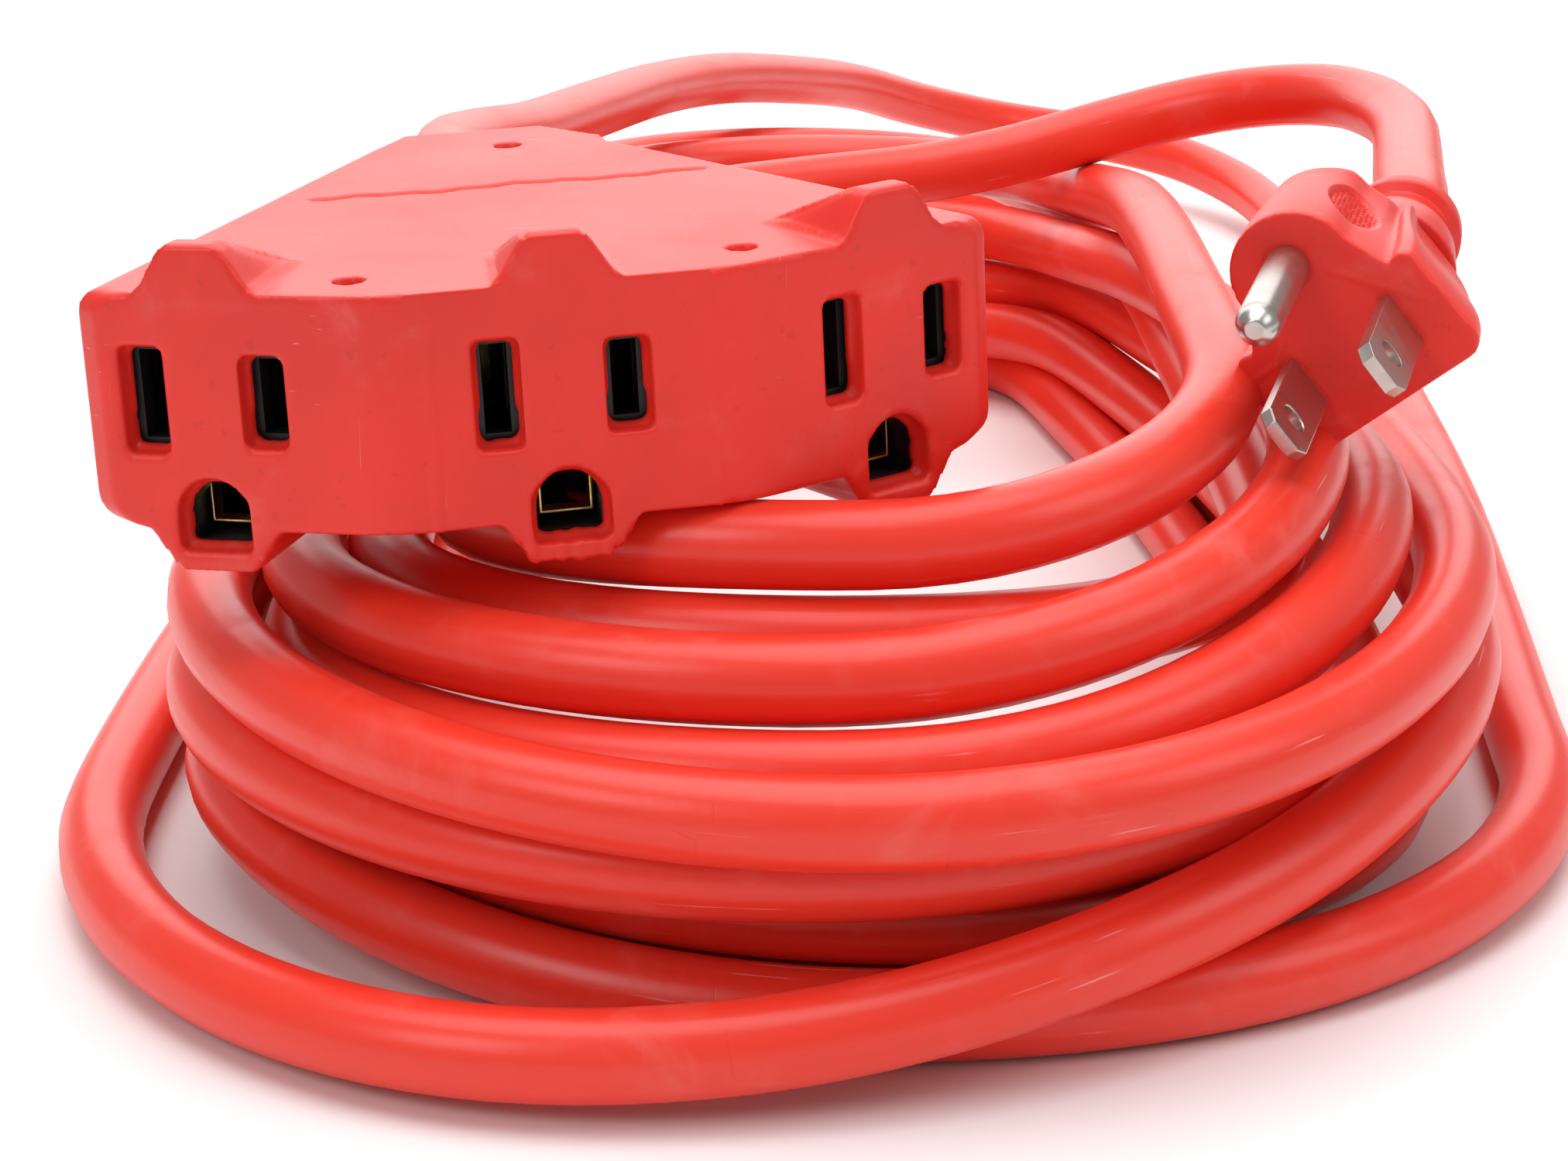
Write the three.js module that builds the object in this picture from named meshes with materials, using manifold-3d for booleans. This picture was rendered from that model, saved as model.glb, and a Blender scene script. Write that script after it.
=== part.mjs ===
// Outdoor extension cord with a moulded three-outlet tap, coiled for storage.
// Millimetres, +Z up.  The floor is z = 0.  +Y points straight into the middle outlet.
// The origin lies on the floor under the middle of the tap's front face.

import * as THREE from "three";
import { ConvexGeometry } from "three/addons/geometries/ConvexGeometry.js";
import { mergeVertices } from "three/addons/utils/BufferGeometryUtils.js";
import Module from "manifold-3d";

const wasm = await Module();
wasm.setup();

// ---------------------------------------------------------------- driving dimensions

const CORD_DIAMETER = 9.2;
const TOUCH_GAP = 0.3;

// tap: the flat moulding with three outlets
const TAP_HEIGHT = 62.7; // floor to the line through the slots
const TAP_ROLL = THREE.MathUtils.degToRad(2.7); // right end up, as it lies on the coil
const TAP_TOP = 10.8;
const TAP_BOTTOM = -13.2;
const TAP_DEPTH = 83;
const TAP_SHOULDER_DEPTH = 72;
const FACE_HALF_WIDTH = 17.5;
const TAP_HALF_WIDTH = 45.8;
const TAP_CORNER_DEPTH = 13.2;
const TAP_REAR_HALF_WIDTH = 15.5;
const TAP_END_HALF_WIDTH = 8;
const BUMP_TOP = 15.7;
const BUMP_BOTTOM = -17.4;

// outlets: the same face three times
const SIDE_TURN = THREE.MathUtils.degToRad(25.3);
const SIDE_OFFSET = 34.7;
const SIDE_SETBACK = 7.8;
const BLADE_SPACING = 12.7;
const POCKET_DEPTH = 2;
const POCKET_WIDTH = 4.6;
const NEUTRAL_POCKET_HEIGHT = 10.9;
const LINE_POCKET_HEIGHT = 9.4;
const SLOT_WIDTH = 2.6;
const NEUTRAL_SLOT_HEIGHT = 9;
const LINE_SLOT_HEIGHT = 7.6;
const GROUND_POCKET = { half: 3.9, bottom: -15.4 };
const GROUND_HOLE = { half: 3.2, bottom: -14.8 };
const GROUND_HOLLOW = { half: 4.05, bottom: -15.65 };
const GROUND_LUG = { half: 3.75, bottom: -15.35 };
const GROUND_LUG_BACK = 8;
const GROUND_DEPTH = 23.2;
const CARRIER_FRONT = 3.2;
const CARRIER_DEPTH = 14;
const CARRIER_PLATE = 2.2;
const BLADE_BUS_DEPTH = 20;
const GROUND_BUS_DEPTH = 22.4;

// plug: three-prong, at the free end of the cord
const PLUG_PLACE = new THREE.Vector3(88.4, 22.6, 57);
const PLUG_HEADING = THREE.MathUtils.degToRad(-26.9);
const PLUG_TILT = THREE.MathUtils.degToRad(5.8);
const PLUG_ROLL = THREE.MathUtils.degToRad(-38.5);
const PLUG_BODY_DEPTH = 26;
const PLUG_REAR = 46;
const BLADE_LENGTH = 17.3;
const BLADE_THICKNESS = 1.5;
const BLADE_WIDTH = 6.35;
const GROUND_PIN_LENGTH = 21.6;
const GROUND_PIN_HEIGHT = 11.9;
const GROUND_PIN_RADIUS = 2.4;

// coil: a long oval heap of turns, in its own frame turned against the tap
const COIL_TURN = THREE.MathUtils.degToRad(-10.5);
const COIL_MIDDLE = 27.3;
const COIL_SIDE_LINE = 54.5;
const REAR_FULLNESS = 0.8;

// ---------------------------------------------------------------- materials

const paint = (color, roughness, metalness = 0) =>
  new THREE.MeshStandardMaterial({ color, roughness, metalness });
const tapVinyl = () => paint(0xe8433a, 0.55);
const cordVinyl = () => paint(0xe9453c, 0.5);
const blackPlastic = () => paint(0x141414, 0.6);
const whitePlastic = () => paint(0xe9e6dd, 0.6);
const brass = () => paint(0xc9a557, 0.35, 1);
const nickel = () => paint(0xc9c7c2, 0.25, 1);
const wireBlack = () => paint(0x1b1b1b, 0.5);
const wireWhite = () => paint(0xe6e4de, 0.5);
const wireGreen = () => paint(0x2f8f4a, 0.5);

// ---------------------------------------------------------------- solids

function toSolid(geometry) {
  const bare = geometry.clone();
  bare.deleteAttribute("normal");
  bare.deleteAttribute("uv");
  const merged = mergeVertices(bare, 1e-4);
  return new wasm.Manifold(
    new wasm.Mesh({
      numProp: 3,
      vertProperties: new Float32Array(merged.attributes.position.array),
      triVerts: new Uint32Array(merged.index.array),
    })
  );
}

function toGeometry(solid) {
  const mesh = solid.getMesh();
  const geometry = new THREE.BufferGeometry();
  geometry.setAttribute("position", new THREE.BufferAttribute(mesh.vertProperties, 3));
  geometry.setIndex(new THREE.BufferAttribute(mesh.triVerts, 1));
  return geometry;
}

const join = (solids) => solids.reduce((whole, piece) => whole.add(piece));
const cut = (solid, tools) => tools.reduce((rest, tool) => rest.subtract(tool), solid);

function node(name, shape, material) {
  const geometry = shape.isBufferGeometry ? shape : toGeometry(shape);
  const mesh = new THREE.Mesh(geometry, material);
  mesh.name = name;
  return mesh;
}

// box from its lowest and highest corners
function block([x0, y0, z0], [x1, y1, z1]) {
  const box = new THREE.BoxGeometry(x1 - x0, y1 - y0, z1 - z0);
  box.translate((x0 + x1) / 2, (y0 + y1) / 2, (z0 + z1) / 2);
  return toSolid(box);
}

// plan outline raised between two heights
function raised(outline, low, high) {
  const geometry = new THREE.ExtrudeGeometry(outline, {
    depth: high - low,
    bevelEnabled: false,
    curveSegments: 12,
  });
  geometry.translate(0, 0, low);
  return geometry;
}

// front-view outline (x across, y up in the sketch) pushed back from one depth to another
function pushed(outline, front, back, curveSegments = 8) {
  const geometry = new THREE.ExtrudeGeometry(outline, {
    depth: back - front,
    bevelEnabled: false,
    curveSegments,
  });
  geometry.rotateX(Math.PI / 2);
  geometry.translate(0, back, 0);
  return geometry;
}

function polygon(points) {
  return new THREE.Shape(points.map(([x, y]) => new THREE.Vector2(x, y)));
}

// round bar along +Y given as [depth, radius] pairs
function turned(profile, segments = 24) {
  const points = profile.map(([depth, radius]) => new THREE.Vector2(radius, depth));
  return new THREE.LatheGeometry(points, segments);
}

function tube(points, radius, sides, steps) {
  const corners = [];
  for (let i = 0; i < sides; i += 1) {
    const angle = (2 * Math.PI * i) / sides;
    corners.push([radius * Math.cos(angle), radius * Math.sin(angle)]);
  }
  const path = new THREE.CatmullRomCurve3(points.map((point) => new THREE.Vector3(...point)));
  return new THREE.ExtrudeGeometry(polygon(corners), {
    steps,
    extrudePath: path,
    bevelEnabled: false,
  });
}

// ---------------------------------------------------------------- tap

// turns a solid drawn on the middle outlet to the outlet on one side (-1, 0 or 1)
function onOutlet(solid, side) {
  const degrees = THREE.MathUtils.radToDeg(SIDE_TURN) * side;
  return solid.rotate([0, 0, degrees]).translate([SIDE_OFFSET * side, SIDE_SETBACK * Math.abs(side), 0]);
}

const SIDES = [-1, 0, 1];

function archedOutline({ half, bottom }) {
  const shape = new THREE.Shape();
  const spring = bottom + half * 0.92;
  shape.moveTo(-half, bottom);
  shape.lineTo(half, bottom);
  shape.lineTo(half, spring);
  shape.absarc(0, spring, half, 0, Math.PI, false);
  return shape;
}

function tapOutline() {
  return polygon([
    [-FACE_HALF_WIDTH, 0],
    [FACE_HALF_WIDTH, 0],
    [TAP_HALF_WIDTH - 1.6, TAP_CORNER_DEPTH - 0.8],
    [TAP_HALF_WIDTH, TAP_CORNER_DEPTH + 1.6],
    [TAP_REAR_HALF_WIDTH, TAP_SHOULDER_DEPTH],
    [TAP_END_HALF_WIDTH, TAP_DEPTH],
    [-TAP_END_HALF_WIDTH, TAP_DEPTH],
    [-TAP_REAR_HALF_WIDTH, TAP_SHOULDER_DEPTH],
    [-TAP_HALF_WIDTH, TAP_CORNER_DEPTH + 1.6],
    [-TAP_HALF_WIDTH + 1.6, TAP_CORNER_DEPTH - 0.8],
  ]);
}

// raised pad over (up = 1) or under (up = -1) an outlet, full height at the face, sloping back
function bump(up) {
  const base = up > 0 ? TAP_TOP - 1 : TAP_BOTTOM + 1;
  const crest = up > 0 ? BUMP_TOP : BUMP_BOTTOM;
  const foot = up > 0 ? 6.4 : 6.2;
  const shoulder = up > 0 ? 2.9 : 4.2;
  const level = up > 0 ? 3 : 24;
  const fade = up > 0 ? 18 : 36;
  const points = [];
  for (const sign of [-1, 1]) {
    points.push(new THREE.Vector3(sign * foot, 0, base));
    points.push(new THREE.Vector3(sign * (foot - 0.6), 0, base + up * 1.4));
    points.push(new THREE.Vector3(sign * shoulder, 0, crest));
    points.push(new THREE.Vector3(sign * shoulder, level, crest));
    points.push(new THREE.Vector3(sign * foot, level, base));
    points.push(new THREE.Vector3(sign * (foot - 1), fade, base));
  }
  return toSolid(new ConvexGeometry(points));
}

function bladePocket(x, height) {
  return block(
    [x - POCKET_WIDTH / 2, -1, -height / 2],
    [x + POCKET_WIDTH / 2, POCKET_DEPTH, height / 2]
  );
}

// everything cut out of the moulding behind one outlet's face
function outletHollow() {
  const slotX = BLADE_SPACING / 2;
  const front = CARRIER_FRONT - TOUCH_GAP;
  const back = CARRIER_FRONT + CARRIER_DEPTH + TOUCH_GAP;
  return join([
    bladePocket(-slotX, NEUTRAL_POCKET_HEIGHT),
    bladePocket(slotX, LINE_POCKET_HEIGHT),
    toSolid(pushed(archedOutline(GROUND_POCKET), -1, POCKET_DEPTH)),
    block([-slotX - 1.7, 0, -4.9], [-slotX + 1.7, front + 1, 4.9]),
    block([slotX - 1.7, 0, -4.2], [slotX + 1.7, front + 1, 4.2]),
    toSolid(pushed(archedOutline(GROUND_HOLE), 0, front + 1)),
    toSolid(pushed(archedOutline(GROUND_HOLLOW), front, GROUND_DEPTH)),
    block([-10.3, front, -7.5], [10.3, back, 8.9]),
    block([-4.05, front, -12], [4.05, GROUND_LUG_BACK + TOUCH_GAP, -7.4]),
  ]);
}

// round dimples on the top left by the mould's locating pins
const PIN_HOLES = [
  [-19.5, 8.2],
  [19.5, 8.2],
  [-33, 24.5],
  [33, 24.5],
  [3, 72],
];

function pinHole([x, y]) {
  const hole = new THREE.CylinderGeometry(1.6, 1.6, 4, 12);
  hole.rotateX(Math.PI / 2);
  hole.translate(x, y, TAP_TOP);
  return toSolid(hole);
}

function tapBody() {
  const moulding = join([
    toSolid(raised(tapOutline(), TAP_BOTTOM, TAP_TOP)),
    ...SIDES.map((side) => onOutlet(bump(1), side)),
    ...SIDES.map((side) => onOutlet(bump(-1), side)),
  ]);
  const busRoom = polygon([
    [-34.5, 27],
    [-28, 20],
    [-12, 17.3],
    [12, 17.3],
    [28, 20],
    [34.5, 27],
    [31.5, 33.5],
    [-31.5, 33.5],
  ]);
  const wireDuct = polygon([
    [-11, 33],
    [11, 33],
    [6, 54],
    [6, 68.5],
    [-6, 68.5],
    [-6, 54],
  ]);
  const boreHole = turned([[68, 0], [68, 5], [TAP_DEPTH + 1, 5], [TAP_DEPTH + 1, 0]]);
  boreHole.translate(0, 0, WIRE_MIDDLE);
  return cut(moulding, [
    ...SIDES.map((side) => onOutlet(outletHollow(), side)),
    toSolid(raised(busRoom, -9.9, 8.6)),
    toSolid(raised(wireDuct, WIRE_MIDDLE - 8, WIRE_MIDDLE + 6)),
    toSolid(boreHole),
    ...PIN_HOLES.map(pinHole),
  ]);
}

const WIRE_MIDDLE = (TAP_TOP + TAP_BOTTOM) / 2;

// black insulating block behind a face: slots in front, cells for the contacts open at the back
function contactCarrier() {
  const slotX = BLADE_SPACING / 2;
  const back = CARRIER_FRONT + CARRIER_DEPTH;
  const cellFront = CARRIER_FRONT + CARRIER_PLATE;
  const solid = join([
    block([-10, CARRIER_FRONT, -7.2], [10, back, 8.6]),
    toSolid(pushed(archedOutline(GROUND_LUG), CARRIER_FRONT, GROUND_LUG_BACK)),
    block([-3.75, CARRIER_FRONT, -12], [3.75, GROUND_LUG_BACK, -7]),
  ]);
  return cut(solid, [
    block(
      [-slotX - SLOT_WIDTH / 2, 0, -NEUTRAL_SLOT_HEIGHT / 2],
      [-slotX + SLOT_WIDTH / 2, cellFront + 1, NEUTRAL_SLOT_HEIGHT / 2]
    ),
    block(
      [slotX - SLOT_WIDTH / 2, 0, -LINE_SLOT_HEIGHT / 2],
      [slotX + SLOT_WIDTH / 2, cellFront + 1, LINE_SLOT_HEIGHT / 2]
    ),
    toSolid(pushed(archedOutline(GROUND_HOLE), 0, GROUND_LUG_BACK + 1)),
    block([-9, cellFront, -5.6], [-3.7, back + 1, 7.2]),
    block([3.7, cellFront, -5.6], [9, back + 1, 7.2]),
  ]);
}

// a point given on an outlet (across, deep), in the tap's frame
function outletPoint(side, across, deep) {
  const turn = SIDE_TURN * side;
  return [
    SIDE_OFFSET * side + across * Math.cos(turn) - deep * Math.sin(turn),
    SIDE_SETBACK * Math.abs(side) + across * Math.sin(turn) + deep * Math.cos(turn),
  ];
}

// flat strip standing on edge through the same place behind each outlet
function busStrip(across, deep, low, high) {
  const half = 0.4;
  const line = SIDES.map((side) => outletPoint(side, across, deep));
  const outline = [
    ...line.map(([x, y]) => [x, y - half]),
    ...line.map(([x, y]) => [x, y + half]).reverse(),
  ];
  return toSolid(raised(polygon(outline), low, high));
}

// pair of spring leaves that grips a blade, with its tail to the strip
function bladeContact(across, low, high) {
  const leaves = polygon([
    [-2, 7],
    [-1.3, 7],
    [-0.8, 8.4],
    [-0.8, 17.7],
    [0.8, 17.7],
    [0.8, 8.4],
    [1.3, 7],
    [2, 7],
    [1.4, 8.6],
    [1.4, 18.4],
    [-1.4, 18.4],
    [-1.4, 8.6],
  ]);
  const clip = toSolid(raised(leaves, -3.2, 6.2)).translate([across, 0, 0]);
  const tail = block([across - 1.2, 18, low], [across + 1.2, BLADE_BUS_DEPTH + 0.2, high]);
  return clip.add(tail);
}

// open trough that takes a round ground pin, with its tail to the strip
function groundContact() {
  const trough = polygon([
    [-3.5, -11.3],
    [-3.5, -15.1],
    [3.5, -15.1],
    [3.5, -11.3],
    [3, -11.3],
    [3, -14.6],
    [-3, -14.6],
    [-3, -11.3],
  ]);
  return join([
    toSolid(pushed(trough, GROUND_LUG_BACK + 0.4, 20.8)),
    block([-1.2, 20, -15.1], [1.2, GROUND_BUS_DEPTH + 0.4, -14.6]),
    block([-1.2, GROUND_BUS_DEPTH - 0.4, -15.1], [1.2, GROUND_BUS_DEPTH + 0.4, -7.2]),
  ]);
}

const BUSES = [
  { name: "neutral_bus", across: -BLADE_SPACING / 2, low: 2.9, high: 6.1 },
  { name: "line_bus", across: BLADE_SPACING / 2, low: -3.1, high: 0.1 },
];

function bus({ across, low, high }) {
  const contacts = SIDES.map((side) => onOutlet(bladeContact(across, low, high), side));
  return join([busStrip(across, BLADE_BUS_DEPTH, low, high), ...contacts]);
}

function groundBus() {
  const contacts = SIDES.map((side) => onOutlet(groundContact(), side));
  return join([busStrip(0, GROUND_BUS_DEPTH, -9.4, -7.2), ...contacts]);
}

// insulated conductors from the strips back to the cord's jacket
const WIRE_RADIUS = 1.6;
const TAP_WIRES = [
  {
    name: "tap_line_wire",
    material: wireBlack,
    route: [[9, 22, -1.5], [7, 32, -1.9], [2.5, 50, WIRE_MIDDLE - 1.3], [2.1, 69.4, WIRE_MIDDLE - 1.3]],
  },
  {
    name: "tap_neutral_wire",
    material: wireWhite,
    route: [[-9, 22, 4.5], [-7, 32, 2.2], [-2.5, 50, WIRE_MIDDLE - 1.3], [-2.1, 69.4, WIRE_MIDDLE - 1.3]],
  },
  {
    name: "tap_ground_wire",
    material: wireGreen,
    route: [[0, 24.7, -7.9], [0, 30, -7.4], [0, 45, 0.4], [0, 69.4, WIRE_MIDDLE + 2.2]],
  },
];

function tapStrainRelief() {
  const sleeve = turned([
    [69.8, 0],
    [69.8, 4.7],
    [TAP_DEPTH + TOUCH_GAP, 4.7],
    [TAP_DEPTH + TOUCH_GAP, 8.6],
    [TAP_DEPTH + 4, 8.6],
    [TAP_DEPTH + 5, 7.6],
    [TAP_DEPTH + 8, 7.6],
    [TAP_DEPTH + 9, 8.1],
    [TAP_DEPTH + 33, 5.7],
    [TAP_DEPTH + 34, 5],
    [TAP_DEPTH + 34, 0],
  ]);
  sleeve.translate(0, 0, WIRE_MIDDLE);
  return sleeve;
}

const OUTLET_NAMES = { "-1": "left", 0: "middle", 1: "right" };

function buildTap() {
  const tap = new THREE.Group();
  tap.position.set(0, 0, TAP_HEIGHT);
  tap.rotation.y = -TAP_ROLL;
  tap.add(node("tap_body", tapBody(), tapVinyl()));
  for (const side of SIDES) {
    const name = `${OUTLET_NAMES[side]}_contact_carrier`;
    tap.add(node(name, onOutlet(contactCarrier(), side), blackPlastic()));
  }
  for (const strip of BUSES) {
    tap.add(node(strip.name, bus(strip), brass()));
  }
  tap.add(node("ground_bus", groundBus(), brass()));
  for (const wire of TAP_WIRES) {
    tap.add(node(wire.name, tube(wire.route, WIRE_RADIUS, 10, 16), wire.material()));
  }
  tap.add(node("tap_strain_relief", tapStrainRelief(), tapVinyl()));
  return tap;
}

// ---------------------------------------------------------------- plug

// front view: a round head over the ground pin, notches, and a wide foot for the blades
function plugOutline() {
  const shape = new THREE.Shape();
  const head = 6.9;
  const headHeight = 10.9;
  shape.moveTo(-9.6, -7.6);
  shape.lineTo(9.6, -7.6);
  shape.quadraticCurveTo(12.2, -7.6, 12.2, -5);
  shape.lineTo(11.6, 5.6);
  shape.lineTo(10.6, 6.4);
  shape.lineTo(9, 6);
  shape.lineTo(head, headHeight);
  shape.absarc(0, headHeight, head, 0, Math.PI, false);
  shape.lineTo(-9, 6);
  shape.lineTo(-10.6, 6.4);
  shape.lineTo(-11.6, 5.6);
  shape.lineTo(-12.2, -5);
  shape.quadraticCurveTo(-12.2, -7.6, -9.6, -7.6);
  return shape;
}

function plugBody() {
  const blank = toSolid(pushed(plugOutline(), 0, PLUG_BODY_DEPTH));
  const taperEnd = PLUG_BODY_DEPTH + 4;
  const rearTaper = turned([[0, 0], [0, 21], [10, 21], [taperEnd, 11], [taperEnd, 0]], 32);
  rearTaper.translate(0, 0, 2);
  const wireDuct = turned([[21, 0], [21, 5.4], [PLUG_BODY_DEPTH + 1, 5.4], [PLUG_BODY_DEPTH + 1, 0]]);
  const thumb = new THREE.SphereGeometry(1, 20, 12);
  thumb.scale(3, 8.5, 3.6);
  const slotX = BLADE_SPACING / 2;
  const halfThick = BLADE_THICKNESS / 2 + TOUCH_GAP;
  const halfWide = BLADE_WIDTH / 2 + TOUCH_GAP;
  const pinHoleBar = turned([[-1, 0], [-1, 2.7], [3, 2.7], [3, 0]]);
  pinHoleBar.translate(0, 0, GROUND_PIN_HEIGHT);
  return cut(blank.intersect(toSolid(rearTaper)), [
    block([-9.5, 2, -4.6], [9.5, 22, 5.4]),
    block([-4, 2, 5.3], [4, 21, 15.4]),
    block([-3, 20, 0], [3, 24.5, 8.5]),
    toSolid(wireDuct),
    block([-slotX - halfThick, -1, -halfWide], [-slotX + halfThick, 3, halfWide]),
    block([slotX - halfThick, -1, -halfWide], [slotX + halfThick, 3, halfWide]),
    toSolid(pinHoleBar),
    toSolid(thumb).translate([10.7, 12.5, 12.2]),
    toSolid(thumb).translate([-10.7, 12.5, 12.2]),
  ]);
}

// white insulator that holds the three prongs at their spacing
function plugBridge() {
  const slotX = BLADE_SPACING / 2;
  const halfThick = BLADE_THICKNESS / 2 + TOUCH_GAP;
  const halfWide = BLADE_WIDTH / 2 + TOUCH_GAP;
  const pin = turned([[0, 0], [0, 2.7], [14, 2.7], [14, 0]]);
  pin.translate(0, 0, GROUND_PIN_HEIGHT);
  return cut(
    join([
      block([-9.2, 2.3, -4.3], [9.2, 8, 5.1]),
      block([-3.7, 2.3, 5], [3.7, 8, 15.1]),
    ]),
    [
      block([-slotX - halfThick, 0, -halfWide], [-slotX + halfThick, 9, halfWide]),
      block([slotX - halfThick, 0, -halfWide], [slotX + halfThick, 9, halfWide]),
      toSolid(pin),
    ]
  );
}

// flat prong with a hole near its chamfered tip and a narrow crimp tail inside
function blade() {
  const tip = -BLADE_LENGTH;
  const half = BLADE_WIDTH / 2;
  const side = polygon([
    [tip, -half + 1.2],
    [tip + 1.6, -half],
    [10, -half],
    [11, -1.4],
    [14.5, -1.4],
    [14.5, 1.4],
    [11, 1.4],
    [10, half],
    [tip + 1.6, half],
    [tip, half - 1.2],
  ]);
  const eye = new THREE.Path();
  eye.absarc(-11.9, 0, 1.65, 0, 2 * Math.PI, true);
  side.holes.push(eye);
  const geometry = new THREE.ExtrudeGeometry(side, {
    depth: BLADE_THICKNESS,
    bevelEnabled: false,
    curveSegments: 8,
  });
  geometry.translate(0, 0, -BLADE_THICKNESS / 2);
  geometry.rotateZ(Math.PI / 2);
  geometry.rotateY(Math.PI / 2);
  return geometry;
}

function groundPin() {
  const tip = -GROUND_PIN_LENGTH;
  return turned(
    [
      [tip, 0],
      [tip, 1.1],
      [tip + 0.9, 1.9],
      [tip + 2.3, GROUND_PIN_RADIUS],
      [10, GROUND_PIN_RADIUS],
      [11, 1.4],
      [14.5, 1.4],
      [14.5, 0],
    ],
    20
  );
}

const PLUG_WIRES = [
  {
    name: "plug_neutral_wire",
    material: wireWhite,
    route: [[-6.3, 14.9, 0], [-5.5, 17.5, 0], [-2.8, 21.5, -1], [-2.1, 25.7, -1.3]],
  },
  {
    name: "plug_line_wire",
    material: wireBlack,
    route: [[6.3, 14.9, 0], [5.5, 17.5, 0], [2.8, 21.5, -1], [2.1, 25.7, -1.3]],
  },
  {
    name: "plug_ground_wire",
    material: wireGreen,
    route: [[0, 15.3, 11.7], [0, 17, 10.6], [0, 20.4, 4.6], [0, 25.5, 2.2]],
  },
];

function plugStrainRelief() {
  return turned([
    [PLUG_BODY_DEPTH + TOUCH_GAP, 0],
    [PLUG_BODY_DEPTH + TOUCH_GAP, 9.2],
    [PLUG_BODY_DEPTH + 9, 7.6],
    [PLUG_BODY_DEPTH + 10.5, 6],
    [PLUG_REAR - 4.6, 6],
    [PLUG_REAR - 4, 7.6],
    [PLUG_REAR - 1, 7.4],
    [PLUG_REAR, 6.4],
    [PLUG_REAR, 0],
  ]);
}

function buildPlug() {
  const plug = new THREE.Group();
  plug.position.copy(PLUG_PLACE);
  plug.rotation.set(PLUG_TILT, PLUG_ROLL, PLUG_HEADING, "ZXY");
  plug.add(node("plug_body", plugBody(), tapVinyl()));
  plug.add(node("plug_bridge", plugBridge(), whitePlastic()));
  for (const [name, x] of [["neutral_blade", -BLADE_SPACING / 2], ["line_blade", BLADE_SPACING / 2]]) {
    const prong = node(name, blade(), nickel());
    prong.position.x = x;
    plug.add(prong);
  }
  const pin = node("ground_pin", groundPin(), nickel());
  pin.position.z = GROUND_PIN_HEIGHT;
  plug.add(pin);
  for (const wire of PLUG_WIRES) {
    plug.add(node(wire.name, tube(wire.route, WIRE_RADIUS, 10, 12), wire.material()));
  }
  plug.add(node("plug_strain_relief", plugStrainRelief(), cordVinyl()));
  return plug;
}

// ---------------------------------------------------------------- cord

// routes in the coil's frame: across, back, height
const TAP_LEAD = [
  [-21.4, 115.6, 61.5],
  [-23.2, 125, 61.4],
  [-24, 137, 60.8],
  [-22.5, 153, 59],
  [-16.5, 179.5, 55.6],
  [-9.1, 219.5, 52],
  [0, 264.5, 47.9],
  [10, 299.5, 43.8],
  [22, 334.5, 37.9],
  [36, 370, 30.5],
  [50, 392, 23],
  [67, 406, 17],
  [86, 409, 13.5],
  [103, 400, 11],
  [114.5, 380, 8.8],
  [120.5, 350, 6.8],
  [123, 310, 5.2],
  [121.5, 240, 4.7],
  [118.5, 165, 4.7],
];
const PLUG_LEAD = [
  [-16.5, 122, 42],
  [-12, 150, 42.8],
  [-3, 172, 43.5],
  [10, 187, 44],
  [26, 195.5, 44.5],
  [43, 200.5, 45.5],
  [58, 204, 48],
  [72, 205, 51.8],
  [85, 203, 55.5],
  [96, 196.5, 58.2],
  [103.5, 185, 60],
  [107, 170, 60.8],
  [107.3, 152, 61.2],
  [104.6, 132, 61.4],
  [101, 110, 61.8],
  [98.4, 93, 61.9],
  [95.9, 82.6, 61.6],
];

// the same route carried straight on a little at both ends
function lengthened(route) {
  const points = route.map((point) => new THREE.Vector3(...point));
  const first = points[0].clone().lerp(points[1], -0.2);
  const last = points.at(-1).clone().lerp(points.at(-2), -0.1);
  return [first, ...points, last].map((point) => point.toArray());
}

// oval around the coil's side line: a half ellipse in front and a fuller, longer end behind
function ovalOutline(half, front, rear) {
  const points = [];
  const steps = 44;
  for (let i = 0; i < steps; i += 1) {
    const angle = (2 * Math.PI * i) / steps;
    const across = Math.cos(angle);
    const along = Math.sin(angle);
    const reach = along > 0 ? rear - COIL_SIDE_LINE : COIL_SIDE_LINE - front;
    const fullness = along > 0 ? REAR_FULLNESS : 1;
    points.push([
      COIL_MIDDLE + half * Math.sign(across) * Math.abs(across) ** fullness,
      COIL_SIDE_LINE + reach * Math.sign(along) * Math.abs(along) ** fullness,
    ]);
  }
  return points.map(([x, y]) => new THREE.Vector2(x, y));
}

// the heap as three rings, each narrower than the one below
const COIL_RINGS = [
  { low: 0, high: 14, outer: [88, -34.5, 390], inner: [42, 22, 238] },
  { low: 13.5, high: 31, outer: [77, -33, 318], inner: [40, 18, 240] },
  { low: 30.5, high: 43, outer: [66, -18, 284], inner: [36, 16, 236] },
];

function coilSolid() {
  const rings = COIL_RINGS.map(({ low, high, outer, inner }) => {
    const outline = new THREE.Shape(ovalOutline(...outer));
    outline.holes.push(new THREE.Path(ovalOutline(...inner)));
    return toSolid(raised(outline, low, high));
  });
  const radius = CORD_DIAMETER / 2 + 2 * TOUCH_GAP;
  const grooves = [TAP_LEAD, PLUG_LEAD].map((route) => toSolid(tube(lengthened(route), radius, 12, 60)));
  return cut(join(rings), grooves);
}

function buildCord() {
  const cord = new THREE.Group();
  cord.rotation.z = COIL_TURN;
  cord.add(node("cord_coil", coilSolid(), cordVinyl()));
  cord.add(node("cord_tap_lead", tube(TAP_LEAD, CORD_DIAMETER / 2, 12, 44), cordVinyl()));
  cord.add(node("cord_plug_lead", tube(PLUG_LEAD, CORD_DIAMETER / 2, 12, 24), cordVinyl()));
  return cord;
}

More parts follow.
